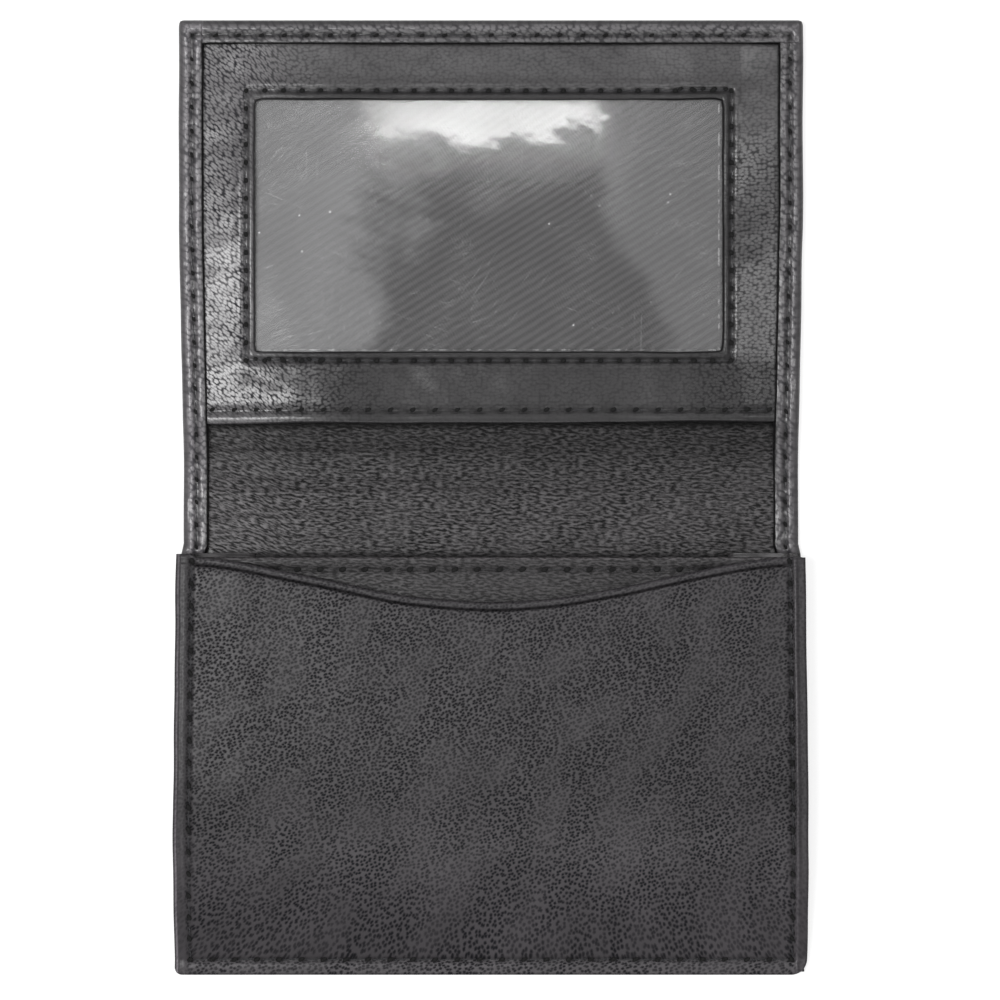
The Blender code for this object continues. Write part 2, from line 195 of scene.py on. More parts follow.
def looks():
    """The colours of the leathers, the cloth and the thread."""
    return bpy.context.scene.holder_leather


# ---------------------------------------------------------------------------
# Shapes


def ramp(low, high, value):
    """0 at low, 1 at high and beyond, with soft ends; low may be the higher number."""
    share = min(1.0, max(0.0, (value - low) / (high - low)))
    return share * share * (3 - 2 * share)


def hump(value, centre, width):
    """1 at the centre, falling off on both sides."""
    return math.exp(-(((value - centre) / width) ** 2))


def roll(inward, radius):
    """Height of a rounded edge as a share: 0 at the rim, 1 from radius inwards."""
    share = min(1.0, max(0.0, inward / radius))
    return math.sqrt(1 - (1 - share) ** 2)


def ridges(value, *each):
    """Height of soft ridges at a distance: each is (height, where it lies, its width)."""
    return sum(height * hump(value, place, width) for height, place, width in each)


def waves(x, y, seed):
    """Smooth noise between -1 and 1."""
    return noise.noise(Vector((x, y, seed)))


def ripples(x, y, *each):
    """Height of uneven waves at a point: each is (height, waves per millimetre, seed)."""
    return sum(height * waves(x * often, y * often, seed) for height, often, seed in each)


def run(start, *stretches):
    """Places from start on: each stretch is (where it ends, the step within it)."""
    places = [start]
    for end, step in stretches:
        begin = places[-1]
        count = max(1, math.ceil(abs(end - begin) / step - 0.001))
        places += [begin + (end - begin) * index / count for index in range(1, count + 1)]
    return places


# Distances in from an edge at which its rounded rim and the hem behind it need points
HEM_PLACES = [0.0, 0.03, 0.10, 0.20, 0.34, 0.52, 0.74] + run(0.9, (3.6, 0.24))
HEM_PLACES += [3.75, 3.9, 4.02, 4.1, 4.15, 4.25]


def spread(near, half, margin, step):
    """Places from -half to half: near are distances in from each end, then steps from margin on."""
    inner = run(-half + margin, (half - margin, step))
    return [-half + value for value in near] + inner + [half - value for value in reversed(near)]


# Half the width of the outer leather: (y, half width)
WIDTHS = [
    (BOTTOM_Y, BACK[1].x),
    (MOUTH_Y, BACK[1].x - 0.9),
    (NEAR_FOLD, STRIP[1].x),
    (FAR_FOLD, STRIP[1].x),
    ((FAR_FOLD + TOP_Y) / 2, FLAP[1].x),
    (TOP_Y, FLAP[1].x),
]


def half_width(y):
    """Half the width of the outer leather at y."""
    if y <= BOTTOM_Y:
        return WIDTHS[0][1]
    for (y_low, w_low), (y_high, w_high) in zip(WIDTHS, WIDTHS[1:]):
        if y <= y_high:
            return w_low + (w_high - w_low) * (y - y_low) / (y_high - y_low)
    return WIDTHS[-1][1]


# Sheets are laid out between -LAYOUT_HALF and LAYOUT_HALF and drawn in to their real width
LAYOUT_HALF = 52.0


def drawn_in(u, y):
    """X of a point that is laid out at u, where the leather at y has its real width."""
    change = half_width(y) - LAYOUT_HALF
    return u + (change if u > 0 else -change) * ramp(14, 40, abs(u))


def round_corner(side_in, end_in, radius):
    """Draw a square corner in to a round one; gives the two distances and that to the rim."""
    if side_in >= radius or end_in >= radius:
        return side_in, end_in, min(side_in, end_in)
    a = 1 - side_in / radius
    b = 1 - end_in / radius
    side = radius * (1 - a * math.sqrt(1 - b * b / 2))
    end = radius * (1 - b * math.sqrt(1 - a * a / 2))
    return side, end, radius * (1 - max(a, b))


class Seam:
    """A straight run of stitches from one point to another.

    drop is how much of the full groove it pulls, hole the half length and half width of a needle
    hole, and lean how far the holes are turned from the run.
    """

    # Beyond this distance from the run, in millimetres, there is no groove
    REACH = 1.6

    def __init__(self, start, end, pitch, drop=1.0, hole=(0.5, 0.24), lean=0.4):
        self.start = Vector(start)
        reach = Vector(end) - self.start
        self.length = reach.length
        self.along = reach.normalized()
        self.count = max(1, round(self.length / pitch))
        self.drop = drop
        self.hole = hole
        self.lean = lean
        self.width = sewing("groove_width")

    def groove(self, x, y):
        """How deep the seam pulls the leather in at a point, 0 to 1."""
        offset_x = x - self.start.x
        offset_y = y - self.start.y
        aside = offset_x * self.along.y - offset_y * self.along.x
        if abs(aside) > self.REACH:
            return 0.0
        along = offset_x * self.along.x + offset_y * self.along.y
        beyond = max(0.0, -along, along - self.length)
        if beyond > self.REACH:
            return 0.0
        phase = along / self.length * self.count
        pull = 0.74 + 0.26 * math.cos(2 * math.pi * phase)
        return self.drop * pull * hump(math.hypot(aside, beyond), 0.0, self.width)

    def holes(self):
        """Where the needle went through."""
        return [self.start + self.along * self.length * i / self.count for i in range(self.count + 1)]


def grooves(seams, x, y):
    """The deepest groove of several seams at a point, 0 to 1."""
    return max([seam.groove(x, y) for seam in seams], default=0.0)


def hem_seams():
    """Seam round the flap and along the strip."""
    inset = sewing("hem_seam")
    pitch = sewing("hem_pitch")
    top = TOP_Y - inset - 0.4
    seams = []
    for side in (-1, 1):
        marks = [NEAR_FOLD - 0.5, FAR_FOLD, (FAR_FOLD + TOP_Y) / 2, top]
        spots = [(side * (half_width(y) - inset), y) for y in marks]
        seams += [Seam(low, high, pitch) for low, high in zip(spots, spots[1:])]
    reach = half_width(TOP_Y) - inset - 0.1
    seams.append(Seam((-reach, top), (reach, top), pitch))
    return seams


def window_box():
    """Low x, high x, low y and high y of the window's opening."""
    margin = sewing("window_margin")
    return FILM[0].x + margin + 0.3, FILM[1].x - margin, FILM[0].y + margin, FILM[1].y - margin - 0.45


def window_seams():
    """Seam round the window, with doubled stitches near two of its corners."""
    x_low, x_high, y_low, y_high = window_box()
    out = sewing("window_seam")
    pitch = sewing("window_pitch")
    left, right, low, high = x_low - out, x_high + out, y_low - out, y_high + out
    marks = [(left, low), (right, low), (right, high), (left, high), (left, low)]
    seams = [Seam(a, b, pitch, 1.0, (0.46, 0.40), 0.2) for a, b in zip(marks, marks[1:])]
    doubled = (
        ((right - 8.4, high + 0.3), (right - 0.9, high + 0.25), 0.62, 0.5),
        ((left + 1.6, low + 0.28), (left + 12.6, low + 0.2), 0.66, -0.5),
    )
    for start, end, closer, lean in doubled:
        seams.append(Seam(start, end, pitch * closer, 1.0, (0.46, 0.34), lean))
    return seams


def slot_seam():
    """Seam along the edge of the card slot."""
    y = PANEL[0].y + sewing("mouth_seam") - 0.2
    reach = PANEL[1].x - 4.5
    return [Seam((-reach, y), (reach, y), sewing("hem_pitch") * 0.97, 0.8, (0.56, 0.34), 0.5)]


def divider_seam():
    """Seam along the divider's top edge."""
    y = MOUTH_Y - sewing("divider_seam")
    return [Seam((-46.3, y), (45.6, y), sewing("pocket_pitch"), 0.8, (0.66, 0.48), 0.5)]


def pocket_seams():
    """Seam round the pocket's two sides and its bottom."""
    inset = sewing("pocket_seam")
    low = BOTTOM_Y + inset
    reach = half_width(BOTTOM_Y) - inset
    reach_at_mouth = half_width(MOUTH_Y) - inset
    ends = [((side * reach, low), (side * reach_at_mouth, MOUTH_Y - 0.6)) for side in (-1, 1)]
    ends.append(((-reach, low), (reach, low)))
    return [Seam(start, end, sewing("pocket_pitch"), 1.0, (0.62, 0.36), 0.5) for start, end in ends]


def grid(columns, rows):
    """A flat bmesh grid with a line of points at each place in columns and in rows."""
    work = bmesh.new()
    bmesh.ops.create_grid(work, x_segments=len(columns) - 1, y_segments=len(rows) - 1, size=0.5)
    for point in work.verts:
        column = round((point.co.x + 0.5) * (len(columns) - 1))
        row = round((point.co.y + 0.5) * (len(rows) - 1))
        point.co = (columns[column], rows[row], 0)
    return work


def unrolled(x, y, z):
    """Where a point lies on the hide: steps at the rims are laid out flat."""
    return x * (1 + 0.019 * z), y * (1 + 0.0127 * z), 0.0


def hide_layers(work):
    """Layers for each point's tone, which carries painted shade and painted highlights, how coarse its grain
    is and where it lies on the hide.
    """
    floats = work.verts.layers.float
    return floats.new("tone"), floats.new("grain"), work.verts.layers.float_vector.new("hide")


def closed_sheet(name, columns, rows, place, material, keep=None, lay=None):
    """A closed sheet: two grids, shaped by place(u, v, upper), with cells between their rims.

    place gives x, y, z, a tone for the colour (painted shade and highlights) and how coarse the grain
    is; keep(u, v) says which cells there are; lay(x, y) says how far the grain's rows lie from straight.
    """
    work = grid(columns, rows)
    if keep is not None:
        spare = [cell for cell in work.faces if not keep(*cell.calc_center_median()[:2])]
        bmesh.ops.delete(work, geom=spare, context="FACES")
    tone, grain, hide = hide_layers(work)
    twin = bmesh.ops.duplicate(work, geom=work.verts[:] + work.edges[:] + work.faces[:])
    under = {part for part in twin["geom"] if isinstance(part, bmesh.types.BMVert)}
    under_faces = [part for part in twin["geom"] if isinstance(part, bmesh.types.BMFace)]
    partner = twin["vert_map"]
    for edge in [edge for edge in work.edges if edge.is_boundary and edge.verts[0] not in under]:
        first, second = edge.verts
        work.faces.new((first, second, partner[second], partner[first]))
    for point in work.verts:
        x, y, z, shade, coarse = place(point.co.x, point.co.y, point not in under)
        point.co = (x, y, z)
        point[tone] = shade
        point[grain] = coarse
        point[hide] = unrolled(x, y + (lay(x, y) if lay else 0.0), z)
    bmesh.ops.reverse_faces(work, faces=under_faces)
    bmesh.ops.remove_doubles(work, verts=work.verts, dist=0.004)
    return finished(name, work, material)


def finished(name, work, material, sharp=55):
    """Turn a bmesh in millimetres into a smooth object in metres, sharp past an angle in degrees."""
    bmesh.ops.recalc_face_normals(work, faces=work.faces)
    bmesh.ops.scale(work, vec=(MM, MM, MM), verts=work.verts)
    mesh = bpy.data.meshes.new(name)
    work.to_mesh(mesh)
    work.free()
    mesh.materials.append(material)
    mesh.shade_smooth()
    mesh.set_sharp_from_angle(angle=math.radians(sharp))
    piece = bpy.data.objects.new(name, mesh)
    bpy.context.scene.collection.objects.link(piece)
    return piece


def bend(piece, low_body, high_body, fold):
    """Let a piece bend from one body to the next across a fold line."""
    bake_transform(piece, low_body, high_body, (0, (fold - BEND) * MM, 0), (0, (fold + BEND) * MM, 0))


# ---------------------------------------------------------------------------
# Shader maths


class Wire:
    """One output of a material's nodes, on which arithmetic can be written."""

    def __init__(self, tree, socket=None):
        self.tree = tree
        self.socket = socket

    def node(self, kind, settings=None, inputs=None, output=0):
        """Add a node: its settings first, then the values or links of its sockets."""
        made = self.tree.nodes.new(kind)
        for key, value in (settings or {}).items():
            setattr(made, key, value)
        for key, value in (inputs or {}).items():
            if isinstance(value, Wire):
                self.tree.links.new(value.socket, made.inputs[key])
            else:
                made.inputs[key].default_value = value
        return Wire(self.tree, made.outputs[output])

    def math(self, operation, *values):
        """A Math node on this value and the given ones."""
        return self.node("ShaderNodeMath", {"operation": operation}, dict(enumerate((self, *values))))

    def __add__(self, other):
        return self.math("ADD", other)

    __radd__ = __add__

    def __mul__(self, other):
        return self.math("MULTIPLY", other)

    __rmul__ = __mul__

    def __sub__(self, other):
        return self.math("SUBTRACT", other)

    def __rsub__(self, other):
        return self.node("ShaderNodeMath", {"operation": "SUBTRACT"}, {0: other, 1: self})

    def between(self, low, high, to_low=0.0, to_high=1.0):
        """This value mapped softly from low..high to to_low..to_high."""
        return self.node(
            "ShaderNodeMapRange",
            {"interpolation_type": "SMOOTHSTEP"},
            {"Value": self, "From Min": low, "From Max": high, "To Min": to_low, "To Max": to_high},
        )

    def scaled(self, x, y=None, z=None):
        """This vector, stretched along its axes."""
        by = (x, x if y is None else y, x if z is None else z)
        return self.node("ShaderNodeVectorMath", {"operation": "MULTIPLY"}, {0: self, 1: by})

    def moved(self, other):
        """This vector plus another."""
        return self.node("ShaderNodeVectorMath", {"operation": "ADD"}, {0: self, 1: other})

    def turned(self, angle):
        """This vector turned about Z."""
        return self.node(
            "ShaderNodeMapping", {"vector_type": "POINT"}, {"Vector": self, "Rotation": (0, 0, angle)}
        )

    def clouds(self, scale, detail=2.0, rough=0.5, output=0):
        """Noise at this place, 0 to 1; scale is in patches per unit of the vector."""
        inputs = {"Vector": self, "Scale": scale, "Detail": detail, "Roughness": rough}
        return self.node("ShaderNodeTexNoise", {}, inputs, output)

    def dots(self, scale):
        """Distance to the nearest spot of a loosely regular flat pattern."""
        return self.node(
            "ShaderNodeTexVoronoi",
            {"feature": "F1", "voronoi_dimensions": "2D"},
            {"Vector": self, "Scale": scale, "Randomness": 0.8},
            "Distance",
        )

    def specks(self, scale):
        """Distance to the nearest of many random spots."""
        inputs = {"Vector": self, "Scale": scale}
        return self.node("ShaderNodeTexVoronoi", {"feature": "F1"}, inputs, "Distance")

    def bump(self, strength, distance):
        """The normal of a surface with this height; distance is in millimetres."""
        inputs = {"Strength": strength, "Distance": distance * MM, "Height": self}
        return self.node("ShaderNodeBump", {}, inputs, "Normal")

    def blend(self, first, second):
        """A colour between two, this value being the share of the second."""
        return self.node("ShaderNodeMix", {"data_type": "RGBA"}, {0: self, 6: first, 7: second}, 2)

    def times(self, shade):
        """This colour times a grey value."""
        settings = {"data_type": "RGBA", "blend_type": "MULTIPLY"}
        return self.node("ShaderNodeMix", settings, {0: 1.0, 6: self, 7: shade}, 2)


def new_material(name):
    """A material and a Wire to paint it with, which is None if the material is there already."""
    material = bpy.data.materials.get(name)
    if material is not None:
        return material, None
    material = bpy.data.materials.new(name)
    material.use_nodes = True
    material.node_tree.nodes.clear()
    return material, Wire(material.node_tree)


def object_place(paint):
    """Where a point lies on its object, in millimetres."""
    return paint.node("ShaderNodeTexCoord", {}, output="Object").scaled(1 / MM)


def surface(paint, inputs):
    """End a material with a Principled shader."""
    out = paint.tree.nodes.new("ShaderNodeOutputMaterial")
    shader = paint.node("ShaderNodeBsdfPrincipled", {}, inputs)
    paint.tree.links.new(shader.socket, out.inputs["Surface"])


def opaque(rgb):
    """A colour with full alpha."""
    return (*rgb, 1.0)


def leather(name, colours, pattern, cell, depth, grain, bare, shine, gloss):
    """Grained leather with smoother worn patches.

    colours are those of its raised and its low parts; pattern is pebbles, pits or wavy streaks;
    cell is the width of a pebble and depth its height, in millimetres; grain is how much longer
    than wide a pebble is, and the angle that it lies at; bare is how much grain is left in worn
    patches; shine is the roughness of the tops and gloss the strength of their reflection.
    """
    material, paint = new_material(name)
    if paint is None:
        return material
    place = paint.node("ShaderNodeAttribute", {"attribute_name": "hide"}, output="Vector")
    # tone brightens or darkens the colour point by point: painted shade in grooves, creases and under edges,
    # and painted highlights on ridges and rims
    tone = paint.node("ShaderNodeAttribute", {"attribute_name": "tone"}, output="Fac")
    coarse = paint.node("ShaderNodeAttribute", {"attribute_name": "grain"}, output="Fac")
    longer, angle = grain
    laid = place.turned(angle).scaled(1 / (cell * longer), 1 / cell, 1 / cell)
    if pattern == "streaks":
        top = laid.clouds(1.0, 2.0, 0.45).between(0.34, 0.66)
    else:
        warp = laid.clouds(0.5, 1.0, output="Color")
        spot = laid.moved(warp.scaled(0.25)).dots(1.0) + (laid.clouds(1.7, 2.0) - 0.5) * 0.5
        near, far = (0.12, 0.60) if pattern == "pits" else (0.74, 0.24)
        top = spot.between(near, far)
    patches = place.turned(-0.9).scaled(0.7, 1.3, 1.0).clouds(0.11, 3.0, 0.6)
    worn = patches.between(0.34, 0.60, bare, 1.0) * coarse
    pore = place.clouds(4.5, 1.0)
    pits = (1.0 - top) * worn
    lit = 1.0 - pits
    face, deep = colours
    # The low colour fills the hollows of the grain: partly their own darker colour, partly painted shade, as
    # the bump casts none
    mixed = lit.blend(opaque(deep), opaque(face))
    mottle = place.moved((7.0, 2.0, 0.0)).clouds(0.10, 3.0, 0.6).between(0.3, 0.7, 0.86, 1.14)
    surface(
        paint,
        {
            "Base Color": mixed.times(mottle * tone),
            "Roughness": shine + 0.1 + pits * 0.25,
            "Coat Weight": lit * (pore * 0.8 + 0.6) * tone.between(0.0, 1.0, 0.0, gloss),
            "Normal": (pore * 0.15 - pits).bump(1.0, depth),
            "Specular IOR Level": 0.1,
            "Coat Roughness": shine,
        },
    )
    return material


def outer_leather():
    """Wrinkled leather of the shell and its hem."""
    colours = looks().outer_face, looks().outer_deep
    return leather("outer leather", colours, "pebbles", 0.70, 0.055, (1.4, 0.6), 0.75, 0.28, 0.60)


def frame_leather():
    """Glossy grained leather of the window frame."""
    colours = looks().outer_face, looks().outer_deep
    return leather("frame leather", colours, "pebbles", 0.52, 0.045, (1.4, 0.0), 0.8, 0.25, 0.62)


def pocket_leather():
    """Pitted, mottled leather of the front panel."""
    colours = looks().pocket_face, looks().pocket_deep
    return leather("pocket leather", colours, "pits", 0.58, 0.075, (1.35, -0.35), 0.58, 0.34, 0.22)


def lining_leather():
    """Thin soft leather of the lining, the divider and the gussets, with a streaky grain."""
    colours = looks().lining_face, looks().lining_deep
    return leather("lining leather", colours, "streaks", 0.36, 0.100, (2.9, 0.05), 0.85, 0.32, 0.30)


def thread_material():
    """Black twisted thread."""
    material, paint = new_material("black thread")
    if paint is None:
        return material
    place = object_place(paint)
    twist = place.turned(0.7).scaled(1.0, 7.0, 1.0).clouds(2.0, 1.0)
    fuzz = place.clouds(12.0, 2.0)
    shade = looks().thread
    light = tuple(min(1.0, value * 3.2) for value in shade)
    mixed = twist.between(0.35, 0.65).blend(opaque(shade), opaque(light))
    surface(
        paint,
        {
            "Base Color": mixed,
            "Roughness": fuzz.between(0.3, 0.7, 0.5, 0.68),
            "Normal": (twist + fuzz * 0.3).bump(0.8, 0.04),
            "Specular IOR Level": 0.2,
        },
    )
    return material


def hole_material():
    """Inside of a needle hole, near-black: painted shade."""
    material, paint = new_material("needle hole")
    if paint is None:
        return material
    place = object_place(paint)
    shade = place.clouds(5.0, 2.0).blend((0.002, 0.002, 0.002, 1), (0.007, 0.007, 0.007, 1))
    rough = place.clouds(3.0).between(0.2, 0.8, 0.75, 0.95)
    surface(paint, {"Base Color": shade, "Roughness": rough, "Specular IOR Level": 0.2})
    return material


# ---------------------------------------------------------------------------
# Outer leather

# Top of the single leather, and of the hem on the strip and on the flap
FLOOR_Z = BACK[1].z
STRIP_Z = STRIP[1].z + 0.1
FLAP_Z = FLAP[1].z - 0.3

# Radius of the corners: at the foot on the left (-1) and the right (1), and on the flap
FOOT_CORNERS = {-1: 1.3, 1: 2.7}
FLAP_CORNER = 1.0

# The hem comes up to its full height over this stretch, next to the pocket's mouth
HEM_START = (-9.9, -9.1)


def hem_top(y):
    """Level of the hem's top: it rises slowly from the strip on to the flap."""
    return STRIP_Z + (FLAP_Z - STRIP_Z) * ramp(3.0, 14.5, y)


def cover_point(u, v, upper, seams, hem_width, depth):
    """A point of the outer leather with its hem; laid out at (u, v).

    The hem runs round the flap and along the strip, and ends at the pocket's mouth.
    """
    side = -1 if u < 0 else 1
    side_in = LAYOUT_HALF - abs(u)
    radius = FLAP_CORNER if v > 0 else FOOT_CORNERS[side]
    end = TOP_Y if v > 0 else BOTTOM_Y
    side_in, end_in, rim = round_corner(side_in, abs(v - end), radius)
    y = end - end_in if v > 0 else end + end_in
    x = drawn_in(side * (LAYOUT_HALF - side_in), y)
    x += side * 0.10 * waves(y * 0.09, side, 2.0) * ramp(12, 0, side_in)

    hemmed = ramp(*HEM_START, v)
    height = FLOOR_Z + (hem_top(v) - FLOOR_Z) * hemmed
    middle = 0.46 * height
    groove = grooves(seams, x, y) * hemmed
    if not upper:
        z = middle * (1 - roll(rim, 0.9)) + 0.10 * groove
        # On the outside the seam's groove is darkened: painted shade
        return x, y, z, 0.85 - 0.4 * groove, 0.45

    inner = min(side_in, abs(v - end)) if v > 0 else side_in
    width = hem_width + 0.06 * waves(x * 0.12, y * 0.12, 5.0)
    if inner > width or hemmed == 0:
        return x, y, FLOOR_Z - (FLOOR_Z - middle) * (1 - roll(rim, 0.4)), 1.0, 0.8
    skin = height - 0.3 * (1 - roll(width - inner, 0.35))
    skin += ridges(inner, (0.14, 1.5, 0.45), (0.05, 3.2, 0.4))
    skin += ripples(x, y, (0.10, 0.8, 1.0), (0.07, 1.7, 8.0))
    skin -= depth * groove
    # At the top corners one hem lies folded over the other
    if side < 0:
        skin += 0.24 * ramp(9.0, 4.4, TOP_Y - v) * ramp(4.0, 3.85, side_in)
    else:
        skin += 0.24 * ramp(9.0, 4.4, side_in) * ramp(4.05, 3.9, TOP_Y - v)
    skin = middle + (skin - middle) * roll(rim, 0.9)
    z = FLOOR_Z + (skin - FLOOR_Z) * hemmed if rim > 0 else middle
    # Painted light on the hem: lighter on its two raised ridges; lighter on the left hem, darker on the
    # right one and darker still across the top, as the lamps fall; painted shade in the seam's groove and
    # along the hem's inner edge
    tone = 1.5 + ridges(inner, (1.9, 1.55, 0.5), (1.2, 3.25, 0.45))
    tone *= (1.45 if side < 0 else 0.92) if side_in < 4.2 else 0.74
    tone *= (1.0 - 0.85 * groove) * (1.0 - 0.95 * ramp(3.65, 4.0, inner))
    return x, y, z, tone, 0.3 + 0.45 * ramp(0.7, 1.3, inner)


def make_outer_leather():
    """The shell in two pieces that meet in the middle of the fold strip."""
    seams = hem_seams()
    material = outer_leather()
    hem_width = sewing("hem_width")
    depth = sewing("groove_depth")

    def place(u, v, upper):
        return cover_point(u, v, upper, seams, hem_width, depth)

    columns = spread(HEM_PLACES, LAYOUT_HALF, 5.0, 2.2)
    rows = [BOTTOM_Y + value for value in (0.0, 0.03, 0.1, 0.2, 0.34, 0.6, 1.0, 1.6)]
    rows += run(BOTTOM_Y + 2.4, (-12.0, 1.5), (-9.6, 0.6), (MID_STRIP, 0.4))
    lower = closed_sheet("cover_lower", columns, rows, place, material)
    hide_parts("shell_back")
    bend(lower, "back", "fold_strip", NEAR_FOLD)

    columns = spread(HEM_PLACES, LAYOUT_HALF, 5.0, 0.75)
    rows = run(MID_STRIP, (13.5, 0.4), (TOP_Y - 5.0, 0.6))
    rows += [TOP_Y - value for value in reversed(HEM_PLACES)]
    upper = closed_sheet("cover_upper", columns, rows, place, material)
    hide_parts("shell_fold", "shell_flap")
    bend(upper, "fold_strip", "flap", FAR_FOLD)


# ---------------------------------------------------------------------------
# Lining

LINING_THICKNESS = 0.5


def lining_level(y):
    """Underside of the lining: low over the fold strip, up on the boards beyond."""
    low = LINING_ON_STRIP[0].z
    high = LINING_IN_FLAP[0].z + 0.8
    rise_near = ramp(NEAR_FOLD - 1.2, NEAR_FOLD - 3.2, y)
    rise_far = ramp(FAR_FOLD + 1.2, FAR_FOLD + 3.2, y)
    return low + (high - low) * max(rise_near, rise_far)


def lining_point(u, v, upper):
    """A point of the lining, wrinkled across the fold strip."""
    inset = 1.1 + 4.1 * ramp(NEAR_FOLD + 1.5, NEAR_FOLD - 1.5, v)
    x = drawn_in(u, v) * (half_width(v) - inset) / half_width(v)
    level = lining_level(v)
    if not upper:
        return x, v, level, 1.0, 1.0
    drift = 1.6 * waves(x * 0.035, v * 0.05, 3.0) + 0.5 * waves(x * 0.12, v * 0.2, 4.0)
    wrinkle = waves(x * 0.030, (v + drift) * 0.62, 11.0)
    fine = waves(x * 0.11, (v + drift) * 1.1, 12.0)
    soft = ramp(-13, -7, v) * ramp(16, 12, v)
    z = level + LINING_THICKNESS + soft * (0.16 * wrinkle + 0.04 * fine)
    z -= ridges(v, (0.28, NEAR_FOLD + 9.8, 0.9), (0.20, FAR_FOLD - 2.0, 0.5))
    # Painted shade, deepening towards the window panel, a painted shadow under the panel's lower edge and
    # behind the divider's top edge, and a painted sheen lightening the left side
    tone = 1.2 - 0.68 * ramp(-2.0, 10.0, v) - 0.45 * ramp(11.0, 12.3, v)
    tone *= (1.0 + 0.4 * ramp(-28, -44, x)) * (1.0 - 0.55 * ramp(-8.3, -9.6, v))
    return x, v, z, tone, 1.0


def lining_lay(x, y):
    """The lining's rows slope less than those of the frame."""
    return 0.45 * grain_lay(x, y)


def make_lining():
    """The lining in two pieces that meet in the middle of the fold strip."""
    material = lining_leather()
    columns = run(-LAYOUT_HALF, (LAYOUT_HALF, 1.0))
    rows = run(LINING_IN_POCKET[0].y, (-14.0, 1.0), (MID_STRIP, 0.3))
    lower = closed_sheet(
        "lining_lower", columns, rows, lining_point, material, lay=lining_lay
    )
    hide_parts("lining_back")
    bend(lower, "back", "fold_strip", NEAR_FOLD)
    rows = run(MID_STRIP, (15.0, 0.3), (LINING_IN_FLAP[1].y, 1.0))
    upper = closed_sheet(
        "lining_upper", columns, rows, lining_point, material, lay=lining_lay
    )
    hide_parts("lining_fold", "lining_flap")
    bend(upper, "fold_strip", "flap", FAR_FOLD)


# ---------------------------------------------------------------------------
# Window


def grain_lay(x, y):
    """The grain's rows slope down to the right at the left side, and lie straight elsewhere."""
    return -0.55 * max(0.0, -30.0 - x) * ramp(-28, -40, x)


def frame_level(x, y):
    """Level of the window frame: its sides swell beside the window and fall away to the hems."""
    shown = FLAP[1].x - HEM_WIDTH
    low_bar = ramp(window_box()[2] - 2, PANEL[0].y + 2, y)
    left = min(1.0, max(0.0, (shown + x) / (6.4 + 14.0 * low_bar))) * ramp(-12, -32, x)
    right = min(1.0, max(0.0, (shown - x) / 6.0)) * ramp(20, 36, x)
    left *= 0.76 * (0.9 + 0.5 * waves(y * 0.05, 1.0, 27.0))
    right *= 0.50 * (0.9 + waves(y * 0.07, 2.0, 28.0))
    return PANEL[1].z - 0.20 + left + right


